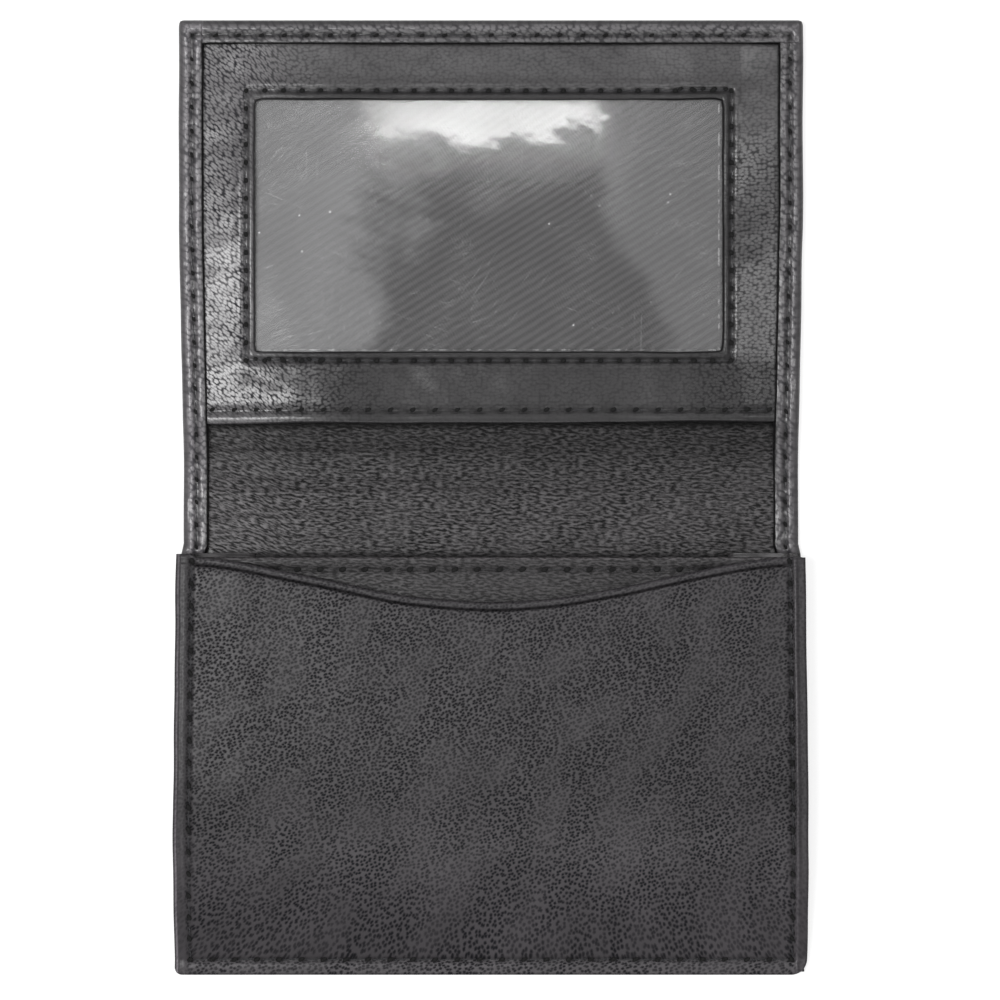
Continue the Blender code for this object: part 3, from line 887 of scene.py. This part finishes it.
def make_window_frame():
    """Leather frame of the identity window."""
    x_low, x_high, y_low, y_high = window_box()
    seams = window_seams() + slot_seam()
    bottom = PANEL[0].y
    top = PANEL[1].y
    side = PANEL[1].x
    low_z = PANEL[0].z
    middle = (low_z + PANEL[1].z) / 2
    depth = sewing("groove_depth")
    shown = FLAP[1].x - sewing("hem_width")
    top_shown = TOP_Y - sewing("hem_width")
    centre_x = (x_low + x_high) / 2
    centre_y = (y_low + y_high) / 2

    def place(u, v, upper):
        out_x = max(x_low - u, u - x_high)
        out_y = max(y_low - v, v - y_high)
        from_window = math.hypot(max(out_x, 0), max(out_y, 0))
        from_slot = v - bottom
        rim = min(from_window, from_slot, side - abs(u), top - v)
        corner = hump(math.hypot(out_x, out_y), 0, 0.7)
        x = u - math.copysign(0.22 * corner, u - centre_x)
        y = v - math.copysign(0.22 * corner, v - centre_y)
        fray = ramp(2.5, 0.0, from_window)
        x += 0.10 * fray * waves(v * 0.15, 1.0, 21.0)
        y += 0.10 * fray * waves(u * 0.15, 2.0, 22.0)
        y -= ramp(4.0, 0.0, from_slot) * (0.35 - 0.004 * u + 0.12 * waves(u * 0.08, 2.0, 23.0))
        edge = roll(rim, 0.32)
        if not upper:
            return x, y, middle - (middle - low_z) * edge, 1.0, 1.0
        groove = grooves(seams, u, v)
        under_hem = ramp(-0.45, -0.05, max(abs(u) - shown, v - top_shown))
        z = frame_level(u, v)
        z += ridges(from_window, (0.12, 0.75, 0.4), (0.10, 2.5, 0.6))
        z += ridges(from_slot, (0.10, 1.0, 0.6), (0.06, 3.2, 0.8))
        z += ripples(u, v, (0.08, 0.10, 24.0), (0.05, 0.35, 25.0))
        z -= depth * groove
        z = middle + (z - middle) * edge
        # Painted shade in the seams' grooves, as a dark line along the window's edge and a darker band
        # beside it, and under the hems; darker on the lower bar and right of the left margin, with a painted
        # sheen that lightens the left margin
        tone = (1.0 - 0.85 * groove) * (1.0 - 0.75 * ramp(0.42, 0.1, from_window))
        tone *= (1.0 - 0.85 * under_hem) * (1.0 - 0.5 * hump(from_window, 0.7, 0.5))
        low_bar = ramp(y_low, y_low - 3, v)
        tone *= (1.0 - (0.28 + 0.17 * low_bar) * ramp(-34, -22, u)) * (1.0 - 0.24 * low_bar)
        tone *= 1.0 + 1.3 * ramp(-32, -40, u)
        grained = max(ramp(-16, -34, u + 0.2 * v - 6), ramp(30, 37, u) * ramp(64, 56, v))
        coarse = 0.42 + (0.58 if u < 0 else 0.40) * grained
        coarse *= 1.0 - 0.45 * ramp(2.0, 1.0, from_window)
        coarse *= 1.0 - 0.5 * ramp(2.0, 1.0, from_slot)
        return x, y, z, tone, coarse

    def keep(u, v):
        return not (x_low < u < x_high and y_low < v < y_high)

    def past_window(start, low, high, end):
        """Places from start to end, close together on both sides of the window."""
        out = [0.0, 0.03, 0.09, 0.18, 0.30, 0.5, 0.75, 1.0, 1.25, 1.5, 1.75, 2.0, 2.3, 2.7]
        places = run(start, (low - 3.2, 0.6)) + [low - value for value in reversed(out)]
        places += run(low, (high, 0.6))[1:-1]
        return places + [high + value for value in out] + run(high + 3.2, (end, 0.6))

    columns = past_window(-side, x_low, x_high, side)
    slot = [0.0, 0.03, 0.09, 0.18, 0.32, 0.6, 0.9, 1.2, 1.5, 1.8, 2.1, 2.4, 2.8]
    rows = [bottom + value for value in slot] + past_window(bottom + 3.3, y_low, y_high, top)
    panel = closed_sheet(
        "window_frame", columns, rows, place, frame_leather(), keep, grain_lay
    )
    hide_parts("window_panel")
    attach(panel, "flap")


def film_material():
    """Worn clear film: a light haze, fine scratches and dust, with painted reflections in pale zones at the
    left, the right and the top, and painted highlights along the window's edges.
    """
    material, paint = new_material("worn clear film")
    if paint is None:
        return material
    place = object_place(paint)
    across = paint.node("ShaderNodeSeparateXYZ", {}, {"Vector": place}, "X")
    along = paint.node("ShaderNodeSeparateXYZ", {}, {"Vector": place}, "Y")
    cloud = place.clouds(0.05, 3.0, 0.55)
    soft = (cloud - 0.5) * 36.0
    rough_edge = place.turned(0.3).scaled(0.5, 1.4, 1.0).clouds(0.16, 4.0, 0.6) - 0.5
    # Pale zones at the left and the right of the film: painted reflections
    reflection_left = (across + soft + rough_edge * 18.0 - along * 0.25).between(-23.0, -33.0)
    right = (across + soft + along * 0.3).between(30.0, 38.0)
    low_end = (along + rough_edge * 16.0).between(57.5, 60.5)
    sides = (across + rough_edge * 14.0).between(-24.0, -18.0)
    sides *= (across + rough_edge * 10.0).between(19.5, 16.5)
    # A pale patch near the top of the film: painted reflection
    reflection_patch = low_end * sides
    scratch = None
    for angle, offset in ((0.4, 0.0), (-0.3, 7.0), (1.57, 13.0), (2.2, 29.0)):
        streak = place.moved((offset, offset, 0)).turned(angle).scaled(0.06, 1.6, 1.0).clouds(1.0, 1.0)
        line = (streak - 0.5).math("ABSOLUTE").between(0.009, 0.0)
        gate = place.moved((offset * 3, 0, 0)).clouds(0.10, 2.0).between(0.52, 0.62)
        line = line * gate
        scratch = line if scratch is None else scratch.math("MAXIMUM", line)
    dust = place.specks(0.28).between(0.075, 0.03) * place.clouds(0.4, 1.0).between(0.5, 0.56)
    x_low, x_high, y_low, y_high = window_box()
    ragged = place.clouds(0.7, 2.0).between(0.46, 0.6)
    # Thin pale lines just inside the window's right, bottom and top edges, in stitch-spaced dots at the top:
    # painted highlights where the film bends
    at_right = (across - (x_high - 0.5)).math("ABSOLUTE").between(0.22, 0.05)
    at_bottom = (along - (y_low + 0.3)).math("ABSOLUTE").between(0.2, 0.05)
    at_top = (along - (y_high - 0.3)).math("ABSOLUTE").between(0.3, 0.1) * sides
    points = place.scaled(1 / WINDOW_PITCH, 0.0, 0.0).dots(1.0).between(0.4, 0.3)
    edge_highlight = (at_right.math("MAXIMUM", at_bottom) * ragged).math("MAXIMUM", at_top * points)
    # marks holds the real scratches and dust, and the painted highlights along the edges
    marks = (scratch * 0.35 + dust * 0.9 + edge_highlight * 0.4).math("MINIMUM", 1.0)
    # The film's opacity: its light haze, raised in the painted reflection zones
    haze_and_reflection_alpha = cloud.between(0.3, 0.7, 0.085, 0.12) + reflection_left * 0.10 + right * 0.04
    alpha = (haze_and_reflection_alpha + marks * 0.3).math("MAXIMUM", reflection_patch * 0.285)
    # haze is the film's own colour and also the colour of its painted reflections
    haze = looks().film_haze_and_reflection
    thin = tuple(value * 0.44 for value in haze)
    # full is how much of the painted reflection colour each point shows
    full = (reflection_left + right * 0.6 + reflection_patch).math("MINIMUM", 1.0)
    shade = full.blend(opaque(thin), opaque(haze))
    shade = (reflection_patch * 0.55).blend(shade, (0.85, 0.85, 0.83, 1.0))
    shade = marks.blend(shade, (0.9, 0.9, 0.9, 1.0))
    surface(
        paint,
        {
            "Base Color": shade,
            "Alpha": alpha,
            "Roughness": cloud.between(0.3, 0.7, 0.06, 0.10) + marks * 0.2,
            "Normal": place.clouds(0.2, 2.0).bump(0.3, 0.01),
            "IOR": 1.7,
            "Specular IOR Level": 0.6,
        },
    )
    return material


def make_window_film():
    """Clear film behind the window, slightly wavy."""
    low, high = FILM
    half_thickness = 0.1

    def place(u, v, upper):
        edge = min(u - low.x, high.x - u, v - low.y, high.y - v)
        sag = ripples(u, v, (0.014, 0.05, 31.0), (0.002, 0.25, 32.0))
        z = (low.z + high.z) / 2 + sag * ramp(0, 4, edge)
        if edge > 0:
            z += half_thickness if upper else -half_thickness
        return u, v, z, 1.0, 1.0

    columns = run(low.x, (high.x, 1.0))
    rows = run(low.y, (high.y, 1.0))
    film = closed_sheet("window_film_sheet", columns, rows, place, film_material())
    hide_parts("window_film")
    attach(film, "flap")


# ---------------------------------------------------------------------------
# Pocket

# How far from the seam the pocket panels swell, and how soon
BELLY_RUN = 34.0
BELLY_POWER = 2.4


def belly(y, low, high):
    """Level of a pocket panel: low at the sewn bottom, swelling up to the mouth."""
    share = min(1.0, max(0.0, (y - SEAM_Y) / BELLY_RUN))
    return low + (high - low) * (1 - (1 - share) ** BELLY_POWER)


def scoop_drop(x, depth, half):
    """How far the slip pocket's edge lies below the mouth at x."""
    share = min(1.0, abs(x) / half)
    return depth * ((1 + math.cos(math.pi * share)) / 2) ** 0.8


def make_front():
    """Scooped front panel of the slip pocket."""
    seams = pocket_seams()
    lip = sewing("lip_width")
    depth = sewing("groove_depth")
    scoop_depth = sewing("scoop_depth")
    scoop_half = sewing("scoop_width") / 2
    middle = FRONT_THICKNESS / 2

    def place(u, v, upper):
        side = -1 if u < 0 else 1
        side_in = LAYOUT_HALF - abs(u)
        side_in, foot_in, rim = round_corner(side_in, v - BOTTOM_Y, FOOT_CORNERS[side])
        y = BOTTOM_Y + foot_in
        x = drawn_in(side * (LAYOUT_HALF - side_in), y)
        from_lip = MOUTH_Y - v
        within = ramp(2.4, 3.4, side_in)
        y -= scoop_drop(x, scoop_depth, scoop_half) * ramp(26, 6, from_lip)
        if side < 0:
            y += 0.6 * (1 - within) * ramp(6, 0, from_lip)
        y += 0.15 * ramp(8, 0, from_lip) * waves(x * 0.10, 1.0, 41.0)
        x += side * 0.15 * waves(y * 0.10, side, 42.0) * ramp(8, 0, side_in)
        rim = min(rim, from_lip)
        base = belly(y, *FRONT_LEVELS)
        edge = roll(rim, 0.45)
        if not upper:
            return x, y, base + middle * (1 - edge), 1.0, 1.0
        groove = grooves(seams, x, y)
        crease = hump(from_lip, lip, 0.2) * within
        z = FRONT_THICKNESS
        if side < 0:
            z += ridges(side_in, (0.15, 0.55, 0.2), (0.12, 1.5, 0.5))
        else:
            z += 0.22 * hump(side_in, 1.75, 0.35)
        z += 0.10 * hump(foot_in, 1.2, 0.8) - 0.24 * crease
        z += ridges(from_lip, (0.05, 0.5, 0.3), (0.10, lip + 0.45, 0.25))
        z += 0.25 * ramp(2.6, 12, min(side_in, foot_in))
        z += ripples(x, y, (0.10, 0.07, 43.0), (0.03, 0.4, 44.0))
        z -= depth * groove
        z = base + middle + (z - middle) * edge
        # Painted light on the front: lighter towards the bottom and darker towards the left, as the lamps
        # fall; painted shade in the seam's groove and the lip's crease; painted highlights on the lip's top
        # edge and in a broken line under its crease
        tone = (1.0 + 0.6 * ramp(-45, -70, y)) * (1.0 - 0.12 * ramp(-5, -45, x))
        tone *= (1.0 - 0.6 * groove) * (1.0 - 0.75 * crease)
        tone *= 1.0 + 0.6 * hump(from_lip, 0.15, 0.15)
        glint = hump(from_lip, lip + 0.45, 0.15) * ramp(-0.3, 0.4, waves(x * 0.9, 0.0, 45.0))
        tone *= 1.0 + 0.5 * within * glint
        # Painted highlight in a thin pale line near the left edge; on the right, a broken pale line along
        # the ridge beside the seam, with painted shade on the margin outside it
        if side < 0:
            tone *= (1.0 - 0.05 * ramp(2.4, 2.0, side_in)) * (1.0 + 3.4 * hump(side_in, 0.45, 0.16))
        else:
            ridge_glints = (0.6 + 0.5 * waves(y * 1.4, 3.0, 46.0)) * hump(side_in, 1.8, 0.25)
            tone *= 1.0 - 0.2 * ramp(2.4, 2.0, side_in) + ridge_glints
        coarse = 1.0 - 0.6 * ramp(2.3, 1.9, side_in) - 0.3 * ramp(lip, lip - 0.3, from_lip) * within
        return x, y, z, tone, max(0.1, coarse)

    edge = [0.0, 0.03, 0.09, 0.18, 0.28, 0.36, 0.44, 0.52, 0.6, 0.7, 0.82, 1.0, 1.2, 1.4, 1.6, 1.8]
    edge += [2.0, 2.2, 2.4, 2.6, 2.8, 3.0, 3.3, 3.7]
    columns = spread(edge, LAYOUT_HALF, 4.2, 0.62)
    mouth = [0.0, 0.03, 0.09, 0.18, 0.30, 0.45, 0.65, 0.85, 1.0, 1.1, 1.2, 1.3, 1.4, 1.5, 1.65, 2.0]
    rows = [BOTTOM_Y + value for value in edge] + run(BOTTOM_Y + 4.2, (MOUTH_Y - 2.6, 0.62))
    rows += [MOUTH_Y - value for value in reversed(mouth)]
    front = closed_sheet("front_leather", columns, rows, place, pocket_leather())
    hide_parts("front_panel")
    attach(front, "pocket_front")


def make_divider():
    """Divider between the slip pocket and the main pocket, with a straight turned edge."""
    seams = divider_seam()
    depth = sewing("groove_depth")
    inset = 0.4
    half = LAYOUT_HALF - inset
    foot = BOTTOM_Y + inset
    thickness = DIVIDER_THICKNESS - 0.04
    middle = thickness / 2

    def place(u, v, upper):
        x = drawn_in(u, v)
        from_lip = MOUTH_Y - v
        base = belly(v, *DIVIDER_LEVELS)
        edge = roll(min(half - abs(u), from_lip, v - foot), 0.33)
        y = v + 0.12 * ramp(3, 0, from_lip) * waves(x * 0.07, 1.0, 51.0)
        if not upper:
            return x, y, base + middle * (1 - edge), 1.0, 1.0
        groove = grooves(seams, x, v)
        z = thickness + 0.10 * hump(from_lip, 0.8, 0.6) + 0.05 * waves(x * 0.15, v * 0.3, 52.0)
        z -= depth * groove
        z = base + middle + (z - middle) * edge
        # Painted shade in the seam's groove and a painted highlight along the top edge
        tone = 0.75 * (1.0 - 0.8 * groove) * (1.0 + 1.5 * hump(from_lip, 0.2, 0.2))
        return x, y, z, tone, 0.8

    rim = [0.0, 0.03, 0.09, 0.18, 0.33, 0.8]
    columns = spread(rim, half, 1.4, 0.62)
    mouth = [0.0, 0.03, 0.09, 0.18, 0.33, 0.55, 0.8, 1.1, 1.4, 1.7, 2.0, 2.3, 2.6, 2.9, 3.4, 4.0]
    rows = [foot + value for value in rim] + run(foot + 1.4, (MOUTH_Y - 16, 2.0), (MOUTH_Y - 4.6, 0.8))
    rows += [MOUTH_Y - value for value in reversed(mouth)]
    divider = closed_sheet("divider_leather", columns, rows, place, lining_leather())
    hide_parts("divider_panel")
    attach(divider, "pocket_front")


def gusset_line(y):
    """The gusset's section at y, as (distance in from the edge, height) from foot to head."""
    foot = 1.35
    head = belly(y, *DIVIDER_LEVELS) - 0.30
    height = head - foot
    pleat = ramp(SEAM_Y + 8.5, SEAM_Y + 17.9, y)
    tip = 3.5 + 8.7 * pleat
    middle = foot + 0.52 * height
    lower = foot + 0.5 * (middle - foot) + 0.25 * pleat
    upper = head - 0.35 * (head - middle)
    return [
        (0.9, foot),
        (2.2, foot),
        (3.2, foot + 0.10 * height),
        (0.45 * tip + 2.0, lower),
        (tip - 0.5, middle - 0.35 * pleat - 0.12 * height),
        (tip, middle),
        (tip - 0.5, middle + 0.35 * pleat + 0.12 * height),
        (0.45 * tip + 2.0, upper),
        (3.2, head - 0.08 * height),
        (2.2, head),
        (0.9, head),
    ]


def spline_at(points, share):
    """A point on a smooth curve through points; share runs from 0 to 1."""
    spot = share * (len(points) - 1)
    index = min(int(spot), len(points) - 2)
    t = spot - index
    line = [Vector(p) for p in points]
    before = line[max(index - 1, 0)]
    start, end = line[index], line[index + 1]
    after = line[min(index + 2, len(points) - 1)]
    return 0.5 * (
        2 * start
        + (end - before) * t
        + (2 * before - 5 * start + 4 * end - after) * t**2
        + (3 * start - before - 3 * end + after) * t**3
    )


def make_gussets():
    """Pleated side walls of the main pocket."""
    low = GUSSET[0].y
    high = GUSSET[1].y
    columns = run(0.0, (1.0, 1 / 44))
    rows = run(low, (high - 2.0, 0.8), (high, 0.25))
    for name, side in (("gusset_fold_left", -1), ("gusset_fold_right", 1)):
        work = grid(columns, rows)
        tone, grain, hide = hide_layers(work)
        for point in work.verts:
            share, y = point.co.x, point.co.y
            inward, z = spline_at(gusset_line(y), share)
            loose = math.sin(math.pi * share)
            inward += 0.18 * loose * waves(y * 0.16, share * 3, 61.0 + side)
            z += 0.10 * loose * waves(y * 0.2, share * 4, 63.0 + side)
            point[hide] = (inward + 60 * share, y, 0.0)
            point[tone] = 1.0
            point[grain] = 0.7
            point.co = (side * (half_width(y) - inward), y, z)
        bmesh.ops.recalc_face_normals(work, faces=work.faces)
        bmesh.ops.solidify(work, geom=work.verts[:] + work.edges[:] + work.faces[:], thickness=0.4)
        piece = finished(name, work, lining_leather())
        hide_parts("gusset_left" if side < 0 else "gusset_right")
        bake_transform(piece, "back", "pocket_front", (0, 0, 1.4 * MM), (0, 0, 7.2 * MM))


# ---------------------------------------------------------------------------
# Thread


def bead(work, spot, height, angle, shape, rings):
    """A ball at a spot, flattened to the half sizes in shape and turned about Z."""
    matrix = Matrix.Translation((spot.x, spot.y, height))
    matrix @= Matrix.Rotation(angle, 4, "Z") @ Matrix.Diagonal((*shape, 1))
    bmesh.ops.create_uvsphere(work, u_segments=8, v_segments=rings, radius=1, matrix=matrix)


def sew(work, seam, level, up):
    """Put stitches and needle holes along a seam; level(x, y) is the leather's height there."""
    radius = sewing("thread_radius")
    sunk = sewing("groove_depth")
    direction = math.atan2(seam.along.y, seam.along.x)
    spots = seam.holes()
    for spot in spots:
        jitter = 0.16 * waves(spot.x * 3.1, spot.y * 3.1, 71.0)
        height = level(spot.x, spot.y) - 0.12 * up
        bead(work, spot, height, direction + (seam.lean + jitter) * up, (*seam.hole, 0.16), 5)
    # The beads made so far are the needle holes, whose near-black colour is painted shade
    for cell in work.faces:
        cell.material_index = 1
    for spot, last in zip(spots[1:], spots):
        middle = (spot + last) / 2
        height = level(middle.x, middle.y) - (sunk * 0.75 + 0.02) * up
        shape = ((spot - last).length / 2 * 0.84, radius, radius * 0.85)
        bead(work, middle, height, direction + seam.lean * 0.2 * up, shape, 6)


def stitched(name, runs, body):
    """One piece for the thread of several runs: (seams, level, 1 for inside or -1 for outside)."""
    whole = bmesh.new()
    for seams, level, up in runs:
        for seam in seams:
            part = bmesh.new()
            sew(part, seam, level, up)
            mesh = bpy.data.meshes.new("seam")
            part.to_mesh(mesh)
            part.free()
            whole.from_mesh(mesh)
            bpy.data.meshes.remove(mesh)
    piece = finished(name, whole, thread_material(), 80)
    piece.data.materials.append(hole_material())
    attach(piece, body)


def make_stitches():
    """All the sewing."""
    hems = hem_seams()
    on_strip = [seam for seam in hems if seam.start.y < 0]
    on_flap = [seam for seam in hems if seam.start.y >= 0]

    def hem_level(x, y):
        return hem_top(y)

    def strip_level(x, y):
        # Sunk near the far fold, where the window frame would meet the thread
        return hem_top(y) - 0.3 * ramp(6.6, 7.8, y)

    def divider_level(x, y):
        return belly(y, *DIVIDER_LEVELS) + 0.66

    def front_level(x, y):
        return belly(y, *FRONT_LEVELS) + 0.86

    def outside(x, y):
        return 0.0

    stitched("flap_stitches", [(on_flap, hem_level, 1), (on_flap, outside, -1)], "flap")
    stitched("strip_stitches", [(on_strip, strip_level, 1), (on_strip, outside, -1)], "fold_strip")
    stitched("window_stitches", [(window_seams(), frame_level, 1)], "flap")
    stitched("slot_stitches", [(slot_seam(), frame_level, 1)], "flap")
    stitched("divider_stitches", [(divider_seam(), divider_level, 1)], "pocket_front")
    stitched("pocket_stitches", [(pocket_seams(), front_level, 1)], "pocket_front")
    stitched("back_stitches", [(pocket_seams(), outside, -1)], "back")


# ---------------------------------------------------------------------------
# Cloth and board


def twill_material():
    """Black twill with diagonal ribs."""
    material, paint = new_material("black twill")
    if paint is None:
        return material
    place = object_place(paint)
    bent = place.moved(place.clouds(0.25, 2.0).scaled(0.6))
    line = bent.turned(math.radians(-32))

    def bands(direction, pitch, distortion, detail_scale):
        """Soft bands across the cloth, pitch millimetres apart."""
        settings = {"wave_type": "BANDS", "bands_direction": direction, "wave_profile": "SIN"}
        inputs = {"Vector": line, "Scale": 0.314 / pitch, "Distortion": distortion}
        inputs.update({"Detail": 1.0, "Detail Scale": detail_scale})
        return line.node("ShaderNodeTexWave", settings, inputs, "Fac")

    ribs = bands("Y", 1.25, 0.4, 2.0)
    yarn = bands("X", 0.45, 0.6, 3.0)
    raised = looks().twill
    deep = tuple(value * 0.55 for value in raised)
    height = ribs + yarn * 0.3 + place.clouds(6.0, 2.0) * 0.2
    mixed = ribs.between(0.2, 0.8).blend(opaque(deep), opaque(raised))
    mixed = mixed.times(yarn.between(0.0, 1.0, 0.75, 1.05))
    surface(
        paint,
        {
            "Base Color": mixed,
            "Roughness": yarn.between(0.0, 1.0, 0.95, 0.8),
            "Normal": height.bump(0.8, 0.04),
            "Specular IOR Level": 0.3,
        },
    )
    return material


def board_material():
    """Grey pressed board with short fibres."""
    material, paint = new_material("grey board")
    if paint is None:
        return material
    place = object_place(paint)
    fibre = place.scaled(1.0, 3.0, 1.0).clouds(2.5, 3.0)
    fleck = place.turned(0.8).scaled(0.6, 5.0, 1.0).clouds(1.4, 2.0)
    shade = (fibre * 0.6 + fleck * 0.4).between(0.3, 0.7)
    mixed = shade.blend((0.19, 0.18, 0.16, 1.0), (0.31, 0.30, 0.27, 1.0))
    surface(
        paint,
        {
            "Base Color": mixed,
            "Roughness": fibre.between(0.2, 0.8, 0.82, 0.95),
            "Normal": (fibre + fleck).bump(0.5, 0.05),
            "Specular IOR Level": 0.3,
        },
    )
    return material


def finish_cloth_and_boards():
    """Give the CAD pieces that stay their finish."""
    for name in ("flap_twill", "back_twill", "divider_twill", "front_twill"):
        frame["nodes"][name].material_slots[0].material = twill_material()
    for name in ("flap_board", "back_board"):
        frame["nodes"][name].material_slots[0].material = board_material()


# ---------------------------------------------------------------------------
# Studio


def floor_material():
    """Pale floor that shows white to the camera and keeps the shadow."""
    material, paint = new_material("pale floor")
    if paint is None:
        return material
    ray = paint.node("ShaderNodeLightPath", {}, output="Is Camera Ray")
    shown = paint.node("ShaderNodeEmission", {}, {"Color": (1, 1, 1, 1), "Strength": ray * 0.66})
    matt = paint.node("ShaderNodeBsdfDiffuse", {}, {"Color": (0.5, 0.5, 0.5, 1.0)})
    both = paint.node("ShaderNodeAddShader", {}, {0: shown, 1: matt})
    out = paint.tree.nodes.new("ShaderNodeOutputMaterial")
    paint.tree.links.new(both.socket, out.inputs["Surface"])
    return material


def lamp(name, place, aim, size_x, size_y, power):
    """A soft rectangular lamp that points at aim."""
    light = bpy.data.lights.new(name, "AREA")
    light.shape = "RECTANGLE"
    light.size = size_x
    light.size_y = size_y
    light.energy = power
    body = bpy.data.objects.new(name, light)
    body.location = place
    body.rotation_euler = (Vector(aim) - Vector(place)).to_track_quat("-Z", "Y").to_euler()
    bpy.context.scene.collection.objects.link(body)


def make_studio():
    """Floor, lamps, world and camera, in metres."""
    scene = bpy.context.scene
    studio = scene.holder_studio
    work = bmesh.new()
    bmesh.ops.create_grid(work, x_segments=4, y_segments=4, size=1.5)
    bmesh.ops.translate(work, vec=(0, 0, -0.00008), verts=work.verts)
    mesh = bpy.data.meshes.new("floor")
    work.to_mesh(mesh)
    work.free()
    mesh.materials.append(floor_material())
    floor = bpy.data.objects.new("floor", mesh)
    scene.collection.objects.link(floor)

    lamp("overhead_lamp", (0.0, 0.15, 1.3), (0, 0, 0), 1.1, 1.1, studio.overhead)
    lamp("left_lamp", (-0.265, 0.0, 0.85), (0, 0, 0), 0.13, 0.30, studio.side)
    lamp("right_lamp", (0.28, 0.06, 0.85), (0, 0, 0), 0.12, 0.22, studio.side * 0.26)
    lamp("far_lamp", (0.05, 0.45, 0.80), (0, 0, 0), 0.40, 0.16, studio.side * 0.2)
    lamp("near_lamp", (0.0, -0.40, 0.80), (0, 0, 0), 0.40, 0.16, studio.side * 0.3)
    lamp("window_lamp", (0.0, 0.12, 0.62), (0, 0.12, 0), 0.072, 0.022, studio.window)

    world = bpy.data.worlds.new("white room")
    world.use_nodes = True
    world.node_tree.nodes.clear()
    paint = Wire(world.node_tree)
    camera_ray = paint.node("ShaderNodeLightPath", {}, output="Is Camera Ray")
    glossy_ray = paint.node("ShaderNodeLightPath", {}, output="Is Glossy Ray")
    through_ray = paint.node("ShaderNodeLightPath", {}, output="Is Transmission Ray")
    seen = (camera_ray + glossy_ray + through_ray).math("MINIMUM", 1.0)
    sky = paint.node("ShaderNodeBackground", {}, {"Color": (1, 1, 1, 1), "Strength": 0.14 + seen * 0.86})
    out = world.node_tree.nodes.new("ShaderNodeOutputWorld")
    world.node_tree.links.new(sky.socket, out.inputs["Surface"])
    scene.world = world

    lens = bpy.data.cameras.new("camera")
    lens.lens = studio.focal
    lens.sensor_width = 36.0
    lens.clip_start = 0.01
    camera = bpy.data.objects.new("camera", lens)
    camera.location = (0.0015, -0.0004, studio.camera_height)
    scene.collection.objects.link(camera)
    scene.camera = camera
    scene.view_settings.view_transform = "Standard"


# ---------------------------------------------------------------------------
# Operators


class HOLDER_OT_outer_leather(bpy.types.Operator):
    """Make the outer leather with its hem."""

    bl_idname = "holder.outer_leather"
    bl_label = "Outer Leather"

    def execute(self, context):
        make_outer_leather()
        return {"FINISHED"}


class HOLDER_OT_lining(bpy.types.Operator):
    """Make the wrinkled lining over the fold."""

    bl_idname = "holder.lining"
    bl_label = "Lining"

    def execute(self, context):
        make_lining()
        return {"FINISHED"}


class HOLDER_OT_window(bpy.types.Operator):
    """Make the window's leather frame and its clear film."""

    bl_idname = "holder.window"
    bl_label = "Window"

    def execute(self, context):
        make_window_frame()
        make_window_film()
        return {"FINISHED"}


class HOLDER_OT_pocket(bpy.types.Operator):
    """Make the divider, the scooped front and the gussets."""

    bl_idname = "holder.pocket"
    bl_label = "Pocket"

    def execute(self, context):
        make_divider()
        make_front()
        make_gussets()
        return {"FINISHED"}


class HOLDER_OT_stitches(bpy.types.Operator):
    """Sew every seam."""

    bl_idname = "holder.stitches"
    bl_label = "Stitches"

    def execute(self, context):
        make_stitches()
        return {"FINISHED"}


class HOLDER_OT_cloth(bpy.types.Operator):
    """Finish the twill and the boards."""

    bl_idname = "holder.cloth"
    bl_label = "Twill and Boards"

    def execute(self, context):
        finish_cloth_and_boards()
        return {"FINISHED"}


class HOLDER_OT_studio(bpy.types.Operator):
    """Set up the floor, the lamps and the camera."""

    bl_idname = "holder.studio"
    bl_label = "Studio"

    def execute(self, context):
        make_studio()
        return {"FINISHED"}


OPERATORS = (
    HOLDER_OT_outer_leather,
    HOLDER_OT_lining,
    HOLDER_OT_window,
    HOLDER_OT_pocket,
    HOLDER_OT_stitches,
    HOLDER_OT_cloth,
    HOLDER_OT_studio,
)


class HOLDER_PT_panel(bpy.types.Panel):
    """Sizes, colours and steps of the card holder."""

    bl_idname = "HOLDER_PT_panel"
    bl_label = "Card Holder"
    bl_space_type = "VIEW_3D"
    bl_region_type = "UI"
    bl_category = "Card Holder"

    def draw(self, context):
        layout = self.layout
        for operator in OPERATORS:
            layout.operator(operator.bl_idname)
        for group in (
            context.scene.holder_sewing,
            context.scene.holder_leather,
            context.scene.holder_studio,
        ):
            for key in group.bl_rna.properties.keys():
                if key not in ("rna_type", "name"):
                    layout.prop(group, key)


CLASSES = (SewingSizes, LeatherLooks, StudioLooks, *OPERATORS, HOLDER_PT_panel)


def register():
    """Add the classes and the settings to Blender."""
    for item in CLASSES:
        bpy.utils.register_class(item)
    bpy.types.Scene.holder_sewing = bpy.props.PointerProperty(type=SewingSizes)
    bpy.types.Scene.holder_leather = bpy.props.PointerProperty(type=LeatherLooks)
    bpy.types.Scene.holder_studio = bpy.props.PointerProperty(type=StudioLooks)


def unregister():
    """Take the settings and the classes out of Blender."""
    del bpy.types.Scene.holder_studio
    del bpy.types.Scene.holder_leather
    del bpy.types.Scene.holder_sewing
    for item in reversed(CLASSES):
        bpy.utils.unregister_class(item)


def main():
    """Build the looks."""
    register()
    bpy.ops.holder.outer_leather()
    bpy.ops.holder.lining()
    bpy.ops.holder.window()
    bpy.ops.holder.pocket()
    bpy.ops.holder.stitches()
    bpy.ops.holder.cloth()
    bpy.ops.holder.studio()


if __name__ == "__main__":
    main()
